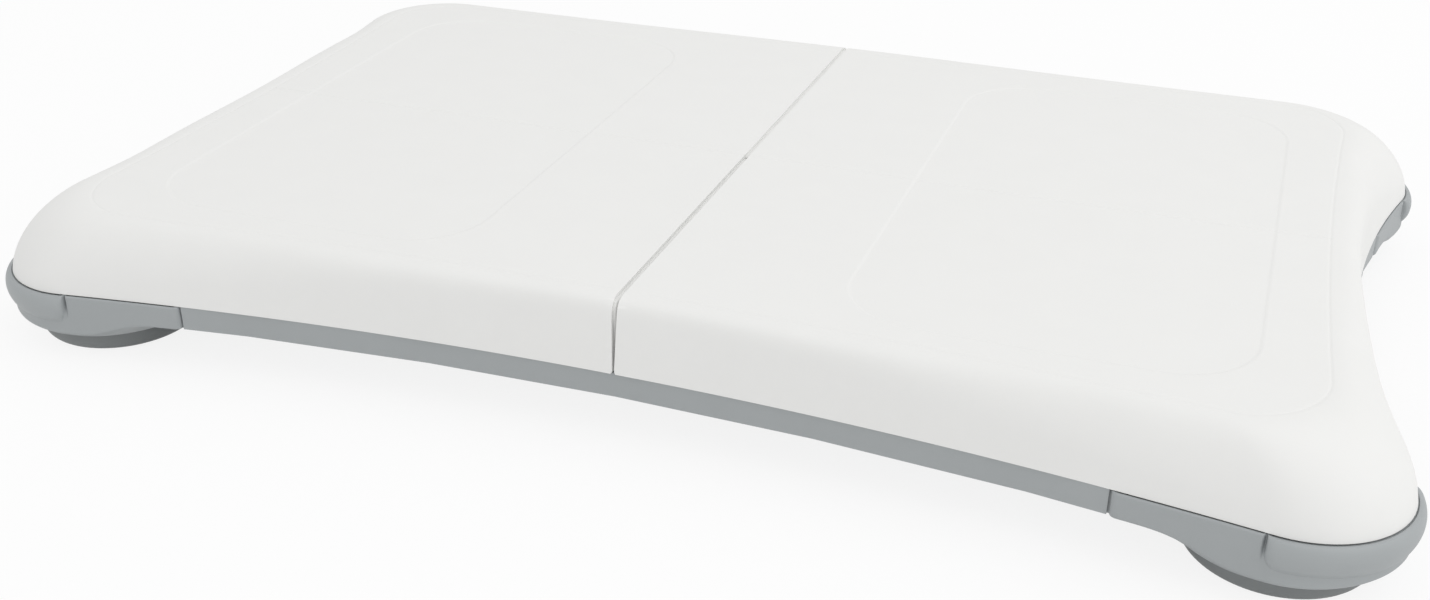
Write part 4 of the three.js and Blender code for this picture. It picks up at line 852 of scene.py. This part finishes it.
# %% Tongues under the seam
TONGUE_X = np.array([-3.6, -1.6, -1.0, -0.5, -0.2, -0.05, 0.05, 0.15, 1.6, 3.6])
NEAR_DEPTH = np.array([1.3, 1.3, 1.3, 1.35, 1.4, 1.6, 2.1, 2.6, 2.7, 2.7])
FAR_DEPTH = np.full(len(TONGUE_X), 1.1)
TONGUE_LOW, TONGUE_RUN, TONGUE_OVERLAP, TONGUE_WALL = 28.2, 40, 0.3, 0.5
DEEPER, DEEPER_FROM, DEEPER_OVER = 0.9, 50.0, 14
OUTSIDE_Y = 100.0


def tongue(near):
    """A strip across the seam: the section line moved inwards by a depth that changes across."""
    pick = 0 if near else -1
    section = section_grid(flat_line[[pick]], hem_line[[pick]], TOP_Z - HEM_Z)[::-1, 0, 1:]
    section = section[section[:, 1] > TONGUE_LOW]
    end = -TONGUE_OVERLAP if near else TONGUE_OVERLAP
    straight = np.linspace(section[-1, 0], end, TONGUE_RUN)[1:]
    line = np.vstack([section, np.stack([straight, np.full(TONGUE_RUN - 1, TOP_Z)], -1)])
    along = np.gradient(line, axis=0)
    along /= np.linalg.norm(along, axis=1)[:, None]
    inward = np.stack([along[:, 1], -along[:, 0]], -1) * (1 if near else -1)
    deeper = 1 + DEEPER * smoothstep((DEEPER_FROM - line[:, 1]) / DEEPER_OVER)
    depth = NEAR_DEPTH if near else FAR_DEPTH
    yz = line[:, None] + inward[:, None] * (depth[None] * deeper[:, None])[..., None]
    x = np.broadcast_to(TONGUE_X[None, :, None], yz.shape[:2] + (1,))
    points = np.concatenate([x, yz], -1)
    return points if near else points * MIRROR_X


for name, near in (("seam_tongue_near", True), ("seam_tongue_far", False)):
    middle = (0.0, -OUTSIDE_Y if near else OUTSIDE_Y, 0.0)
    strip = piece(name, [outward(tongue(near), inside=middle)], "board", cover_white)
    thicken(strip, "sheet", TONGUE_WALL)

# %% [markdown]
# ## Corner legs
# A corner leg is a grey moulding that wraps the board's corner, dips towards the foot and ends in
# a round rim over it. A raised bumper runs round the corner. It could be cut from a block, but
# cuts leave long thin faces that spoil a rounded skin. So the surface is spun round the foot: at
# each direction the plan's edge gives the reach, and a closed path of rows runs down the outside,
# along the underside, up the well over the foot and back along the seat.

# %% Plan of a corner leg
FOOT_X, FOOT_Y = 215.5, 120.0
LEG_REACH, LEG_PROUD, LEG_SEAT = 49.1, 1.0, 5.4
LEG_TOP, LEG_SHELF, END_ROUNDING, LEG_COLUMNS = 26.4, 19.5, 3.2, 420
BUMPER_X, BUMPER_Y = 211.5, 112.0
FINE = (200, 120, 200, 200)
FINE_STEPS = 7201
AROUND_X, AROUND_Y = 90, 70


def polar_reach(plan, inset, near, angle):
    """Reach of the outline from the foot's axis in each direction, in radians."""
    line = half_outline(plan, inset, FINE) - (FOOT_X, -FOOT_Y if near else FOOT_Y)
    close = (line[:, 1] < AROUND_Y) if near else (line[:, 1] > -AROUND_Y)
    line = line[(line[:, 0] > -AROUND_X) & close]
    if not near:
        line = line[::-1] * (1, -1)
    turn = np.unwrap(np.arctan2(line[:, 1], line[:, 0]))
    turn -= 2 * np.pi * np.round(turn.mean() / (2 * np.pi))
    return np.interp(angle, turn, np.linalg.norm(line, axis=1))


def zone_reach(angle, reach):
    """Reach of the leg's own zone: square ends, and a round inner corner."""
    c, s = np.cos(angle), np.sin(angle)
    square = reach / np.maximum(np.maximum(-c, s), 1e-9)
    return np.where((c < 0) & (s > 0), reach, square)


def soft_min(a, b, width):
    """The smaller of two lengths, with the corner between them rounded over a width."""
    h = np.clip(0.5 + 0.5 * (b - a) / width, 0, 1)
    return b + (a - b) * h - width * h * (1 - h)


print("hem's reach over a foot", polar_reach(HEM, 0, True, np.radians([-90.0, 0.0])).round(1))

# %% [markdown]
# ### Where the columns stand
# The leg's ends and the ends of its bumper turn tightly, and the long straight parts hardly at
# all. Even columns would be too few for the first or too many for the second. So a density says
# how many are wanted at each place, and they stand at equal steps of its running total.

# %% Columns of a corner leg
END_CROWD, END_SPREAD = 7, 2.5
NOSE_CROWD, NOSE_SPREAD = 9, 1.5
SIDE_CROWD, SIDE_SPREAD = 3, 7
NEAR_CROWD, NEAR_REACH = 1.2, 60


def leg_columns(near, count):
    """Directions round the foot, crowded where the leg's ends and the bumper's ends are."""
    fine = np.radians(np.linspace(-225, 135, FINE_STEPS))
    hem, zone = polar_reach(HEM, -LEG_PROUD, near, fine), zone_reach(fine, LEG_REACH)
    outer = soft_min(hem, zone, END_ROUNDING)
    x, y = FOOT_X + outer * np.cos(fine), -FOOT_Y + outer * np.sin(fine)
    bump = np.where(y < -FOOT_Y, np.abs(x - BUMPER_X), np.abs(y + BUMPER_Y))
    density = (1 + END_CROWD * bell(hem - zone, END_SPREAD) + NOSE_CROWD * bell(bump, NOSE_SPREAD)
               + SIDE_CROWD * bell(bump, SIDE_SPREAD) + NEAR_CROWD * (outer < NEAR_REACH))
    walked = np.cumsum(np.hypot(np.gradient(x), np.gradient(y)) * density)
    walked -= walked[0]
    return np.interp(np.linspace(0, walked[-1], count + 1)[:-1], walked, fine)


print("leg columns", len(leg_columns(True, LEG_COLUMNS)))

# %% [markdown]
# ### The sweep and the bumper
# Beside the foot the leg's underside stays low as a round rim, then rises quickly to the level of
# the base. The bumper is a rolled band: fullest a little above its middle, round at its ends, and
# with a round lower corner. Beside its end a fine relief groove runs down from the hem and fades.
# The bumper could be a piece laid on the leg. As a bulge of the same surface it has no joint, as
# on the real moulding.

# %% Sweep and bumper
RIM_RADIUS, RIM_Z, LEG_END_Z = 34.0, 9.8, 17.3
SWEEP_REACH, SWEEP_POWER = 6.0, 1.6
BUMPER_OUT, BUMPER_FOOT, BUMPER_CORNER, NOSE = 2.3, 15.6, 6.0, 3.0
BUMPER_AWAY, OFF_BUMPER = 12, -9.0
ROLL_SKEW, ROLL_FULLNESS = 0.85, 0.65
RIM_SWELL, SWELL_Z, SWELL_WIDTH, SWELL_EASE = 0.5, 11.6, 1.3, 7
RELIEF_DEPTH, RELIEF_WIDTH, RELIEF_BEFORE = 1.9, 0.42, 0.55
RELIEF_LOW, RELIEF_FADE = 17, 7


def underside(radius):
    """Underside: rim + rise * (1 - exp(-((radius - rim radius) / reach) ^ power))."""
    away = np.clip((radius - RIM_RADIUS) / SWEEP_REACH, 0, None)
    return RIM_Z + (LEG_END_Z - RIM_Z) * (1 - np.exp(-away ** SWEEP_POWER))


def past_bumper_end(place, on_hem):
    """Distance along the leg from the bumper's nearer end, positive within the bumper.

    Places that are not on the outside of the board get the same distance, well off the bumper.
    """
    x, y = place[:, 0], place[:, 1]
    long_side = y < -FOOT_Y - BUMPER_AWAY
    past = np.where(long_side, x - BUMPER_X, -BUMPER_Y - y)
    outside = (long_side | (x > FOOT_X + BUMPER_AWAY)) & (on_hem > 0)
    return np.where(outside, past, OFF_BUMPER)


def bulge(past, z):
    """How far the side stands out: the bumper's roll times its round end, swell minus relief."""
    low = z - BUMPER_FOOT + 1
    corner = np.hypot(np.maximum(BUMPER_CORNER - past, 0), np.maximum(BUMPER_CORNER - low, 0))
    nose = np.sqrt(np.clip(1 - (1 - np.clip((BUMPER_CORNER - corner) / NOSE, 0, 1)) ** 2, 0, 1))
    fall = np.clip((LEG_TOP - z) / (LEG_TOP - BUMPER_FOOT), 0, 1)
    roll = np.sin(np.pi * fall ** ROLL_SKEW) ** ROLL_FULLNESS
    swell = RIM_SWELL * bell(z - SWELL_Z, SWELL_WIDTH) * smoothstep(past / SWELL_EASE)
    groove = RELIEF_DEPTH * bell(past + RELIEF_BEFORE, RELIEF_WIDTH)
    return BUMPER_OUT * nose * roll + swell - groove * smoothstep((z - RELIEF_LOW) / RELIEF_FADE)


print("rim at", underside(RIM_RADIUS), "end at", round(float(underside(LEG_REACH)), 2))

# %% [markdown]
# ### The closed section of a leg
# Each row of the grid is one ring round the foot. The first rows are the ledge under the hem, with
# the shadow groove that the photograph shows as a thin dark line. The rings then follow the
# outside, the underside, the well and the seat, and the last ring meets the first. So the leg is
# one closed skin, and needs no modifier for its wall.

# %% Section of a corner leg
LEDGE = ((1.7, 0.35), (1.25, 0.3), (1.0, 0.12), (0.8, 0.03), (0.5, 0.02), (0.2, 0.14),
         (0.05, 0.4), (0.0, 0.75))
BOTTOM_EDGE = ((0.0, 0.9), (0.1, 0.45), (0.32, 0.15), (0.8, 0.0))
WELL = ((33.4, 9.8), (30.2, 9.8), (29.4, 9.8), (29.1, 9.95), (29.0, 10.3), (29.0, 14.2),
        (28.6, 14.6), (9.0, 14.6), (8.3, 14.75), (8.2, 15.1), (8.2, 19.2), (8.5, 19.5))
WALL_ROWS, UNDER_ROWS = 30, 12
HEM_BLEND, THINNEST_WALL = 1.5, 0.3
SEAT_FILLET, SEAT_RISE, WALL_EDGE, SLIVER = 0.35, 0.4, 0.3, 0.02


def leg_grid(near):
    """Closed rows of points round the foot: ledge, outside, underside, rim, well and seat."""
    angle = leg_columns(near, LEG_COLUMNS)
    zone, hem = zone_reach(angle, LEG_REACH), polar_reach(HEM, -LEG_PROUD, near, angle)
    outer = soft_min(hem, zone, END_ROUNDING)
    seat = polar_reach(HEM, LEG_SEAT, near, angle)
    edge = outer[:, None] * np.stack([np.cos(angle), np.sin(angle)], -1)
    along = np.roll(edge, -1, axis=0) - np.roll(edge, 1, axis=0)
    along /= np.linalg.norm(along, axis=1)[:, None]
    side = np.stack([along[:, 1], -along[:, 0]], -1)
    on_hem = smoothstep((zone - hem) / HEM_BLEND + 0.5)
    past = past_bumper_end(edge + (FOOT_X, -FOOT_Y), on_hem)
    walled = seat < outer - THINNEST_WALL
    top_z = np.where(walled, LEG_TOP, LEG_SHELF)
    bottom = underside(outer)
    rows = []

    def ring(inset, z):
        """A row on the outside, moved out by the bulge and in by an inset."""
        out = bulge(past, z) * on_hem - inset
        plan = edge + side * out[:, None]
        rows.append(np.column_stack([plan, np.broadcast_to(z, len(edge))]))

    def spun(reach, z):
        """A row at a reach from the foot's axis."""
        plan = edge / outer[:, None] * np.broadcast_to(reach, len(edge))[:, None]
        rows.append(np.column_stack([plan, np.broadcast_to(z, len(edge))]))

    for inset, drop in LEDGE:
        ring(inset, top_z - drop)
    for down in np.linspace(0, 1, WALL_ROWS + 2)[1:-1]:
        ring(0.0, (top_z - LEDGE[-1][1]) * (1 - down) + (bottom + BOTTOM_EDGE[0][1]) * down)
    for inset, lift in BOTTOM_EDGE:
        ring(inset, bottom + lift)
    for inward in np.linspace(0, 1, UNDER_ROWS + 2)[1:-1]:
        reach = (outer - BOTTOM_EDGE[-1][0]) * (1 - inward) + WELL[0][0] * inward
        spun(reach, underside(reach))
    for reach, z in WELL:
        spun(reach, z)
    spun(np.minimum(seat, outer) - SEAT_FILLET, LEG_SHELF)
    spun(np.minimum(seat, outer - 2 * SLIVER),
         np.where(walled, LEG_SHELF + SEAT_RISE, LEG_SHELF))
    spun(np.minimum(seat + SLIVER, outer - SLIVER), top_z - WALL_EDGE * walled)
    return np.stack(rows) + (FOOT_X, -FOOT_Y, 0)


CORNERS = {"front_left": (-1, -1), "front_right": (1, -1), "rear_left": (-1, 1),
           "rear_right": (1, 1)}
for name, (sx, sy) in CORNERS.items():
    points = leg_grid(sy < 0) * (sx, -sy, 1)
    piece("leg_" + name, [outward(points, True, True)], "board", shell_grey,
          replaces=["corner_leg_" + name])

# %% [markdown]
# ### Lips behind the ends
# The joint between a leg's end and the base strip shows dark in the photograph, because the leg
# laps behind the strip. The lap could be built into the leg, but nothing would show of it except
# the dark. So a thin upright lip just inside the hem is enough: it closes the view through each of
# the eight joints.

# %% Lips at the leg ends
LIP_INSET, LIP_HALF, LIP_LOW, LIP_HIGH, LIP_WALL = 1.4, 2.0, 17.32, 26.0, 0.6
LIP_ACROSS = np.linspace(-LIP_HALF, LIP_HALF, 3)


def end_lips(near):
    """Two strips, one behind each end of a leg: across the joint, and from base to hem."""
    line = half_outline(HEM, LIP_INSET, FINE) * (1, 1 if near else -1)
    long_side = line[line[:, 1] < -BUMPER_Y]
    short_side = line[(line[:, 0] > BUMPER_X) & (line[:, 1] > -BUMPER_Y) & (line[:, 1] < 0)]
    x, y = FOOT_X - LEG_REACH + LIP_ACROSS, -FOOT_Y + LEG_REACH + LIP_ACROSS
    order, other = np.argsort(long_side[:, 0]), np.argsort(short_side[:, 1])
    plans = (
        np.stack([x, np.interp(x, long_side[order, 0], long_side[order, 1])], -1),
        np.stack([np.interp(y, short_side[other, 1], short_side[other, 0]), y], -1),
    )
    return [np.stack([np.column_stack([plan, np.full(len(plan), z)])
                      for z in (LIP_LOW, LIP_HIGH)]) for plan in plans]


for name, (sx, sy) in CORNERS.items():
    strips = [outward(strip * (sx, -sy, 1), inside=(0.0, 0.0, 20.0))
              for strip in end_lips(sy < 0)]
    lip = piece("leg_lips_" + name, strips, "board", shell_grey)
    thicken(lip, "sheet", LIP_WALL)

# %% [markdown]
# ## Round feet and their pads
# Each foot is a turned bowl that hangs in the well of its leg. The Screw modifier could turn it.
# Here a profile of radius and height is carried round the axis in 96 steps, as on a lathe, with
# the same grid helpers as before. A ring of rubber under it, with two fine grooves, grips the
# floor.

# %% Feet and pads
FOOT_STEPS, BOWL_STEPS = 96, 14


def turned(profile, x, y):
    """A profile of (radius, height) carried round an upright axis at (x, y)."""
    profile = np.array(profile, float)
    angle = np.linspace(0, 2 * np.pi, FOOT_STEPS, endpoint=False)
    r, z = profile[:, 0], profile[:, 1]
    return np.stack([x + r[:, None] * np.cos(angle), y + r[:, None] * np.sin(angle),
                     np.broadcast_to(z[:, None], (len(z), FOOT_STEPS))], -1)


def bezier(p0, p1, p2, p3, count):
    """Points on a cubic Bezier curve: the four points weighted by the cubic shares of t."""
    t = np.linspace(0, 1, count)[:, None]
    p0, p1, p2, p3 = (np.array(p, float) for p in (p0, p1, p2, p3))
    return ((1 - t) ** 3 * p0 + 3 * t * (1 - t) ** 2 * p1 + 3 * t ** 2 * (1 - t) * p2
            + t ** 3 * p3)


bowl = bezier((25.2, 0.4), (28.8, 0.5), (30.2, 2.8), (30.2, 7.6), BOWL_STEPS)
foot_profile = [
    (0, 3.4), (22.1, 3.4), (22.3, 3.2), (22.3, 0.7), (22.6, 0.4), *bowl, (30.2, 8.3),
    (29.9, 8.8), (28.5, 8.9), (28.2, 9.2), (28.2, 13.0), (27.9, 13.4), (26.3, 13.4),
    (26.0, 13.1), (26.0, 6.3), (25.7, 6.0), (7.3, 6.0), (7.0, 6.3), (7.0, 14.5), (6.6, 14.9),
    (2.9, 14.9), (2.8, 14.7), (2.8, 9.0), (0, 9.0)]
pad_profile = [
    (0, 0.15), (8.0, 0.15), (8.3, 0.5), (9.2, 0.5), (9.5, 0.15), (13.5, 0.15), (13.8, 0.5),
    (14.7, 0.5), (15.0, 0.0), (21.3, 0.0), (21.8, 0.3), (22.0, 0.8), (22.0, 3.0), (21.8, 3.1),
    (0, 3.1)]
for name, (sx, sy) in CORNERS.items():
    x, y, body = sx * FOOT_X, sy * FOOT_Y, "foot_body_" + name
    piece("foot_bowl_" + name, [outward(turned(foot_profile, x, y), wrap_cols=True)], body,
          foot_grey, replaces=["foot_" + name])
    piece("foot_grip_" + name, [outward(turned(pad_profile, x, y), wrap_cols=True)], body,
          pad_rubber, replaces=["foot_pad_" + name])

# %% [markdown]
# ## Base shell, door and buttons
# These CAD solids already have the right shape, and building them again would gain nothing. A
# merged copy gets rounded edges, so the light catches its rims, and stands for the CAD node.
# Normals weighted by area keep the broad faces flat next to the narrow bevels.

# %% Rounded copies of CAD solids
COPY_MERGE, FLAT_ANGLE, ROUND_ANGLE = 5e-6, 1.0, 35
# CAD node: piece, body, width of the rounding in millimetres
ROUNDED = {
    "base_shell": ("base_tray", "board", 0.3),
    "battery_door": ("door", "battery_door_body", 0.3),
    "power_button": ("power_key", "power_button_body", 0.35),
}


def rounded_copy(node_name, name, body, width):
    """A copy of a CAD node with its triangles merged, flat faces joined and edges rounded."""
    mesh = frame["nodes"][node_name].data.copy()
    mesh.name = name
    copied = bmesh.new()
    copied.from_mesh(mesh)
    bmesh.ops.remove_doubles(copied, verts=copied.verts, dist=COPY_MERGE)
    bmesh.ops.dissolve_limit(copied, angle_limit=math.radians(FLAT_ANGLE), verts=copied.verts,
                             edges=copied.edges)
    copied.to_mesh(mesh)
    copied.free()
    thing = place_piece(name, mesh, body, shell_grey, [node_name])
    soften(thing, width * MM, ROUND_ANGLE)
    weighted = thing.modifiers.new("large faces stay flat", "WEIGHTED_NORMAL")
    weighted.weight = 100


for node_name, values in ROUNDED.items():
    rounded_copy(node_name, *values)

# %% [markdown]
# ## Dressing the solids that stay
# The parts inside the board, the screws and the light guide keep their CAD solids, whose plain
# shapes are right as they are. Each gets the finish of its material slot, and the screws, the
# studs and the two ways round of the cells get their own.

# %% Materials of the other solids
by_slot = {
    "steel": metal("pressed_steel"), "spring_steel": plated_strip, "tin": plated_strip,
    "aluminium": metal("milled_aluminium"), "black_plastic": moulded("black_plastic"),
    "red_plastic": moulded("button_red"), "lead": moulded("lead_sleeve"),
    "grey_plastic": shell_grey, "cover": cover_white, "foot_plastic": foot_grey,
    "rubber": pad_rubber, "circuit": circuit_finish(), "light_guide": frosted_guide}
by_node = {"battery_1": cell_plus_left, "battery_2": cell_plus_right,
           "battery_3": cell_plus_left, "battery_4": cell_plus_right}
slot_of = {part["node"]: part["material_slot"] for part in frame["record"]["subparts"]}
for name, thing in frame["nodes"].items():
    own_steel = screw_steel if "screw" in name or "stud" in name else None
    thing.data.materials.clear()
    thing.data.materials.append(by_node.get(name) or own_steel or by_slot[slot_of[name]])
print("dressed", len(frame["nodes"]), "solids")
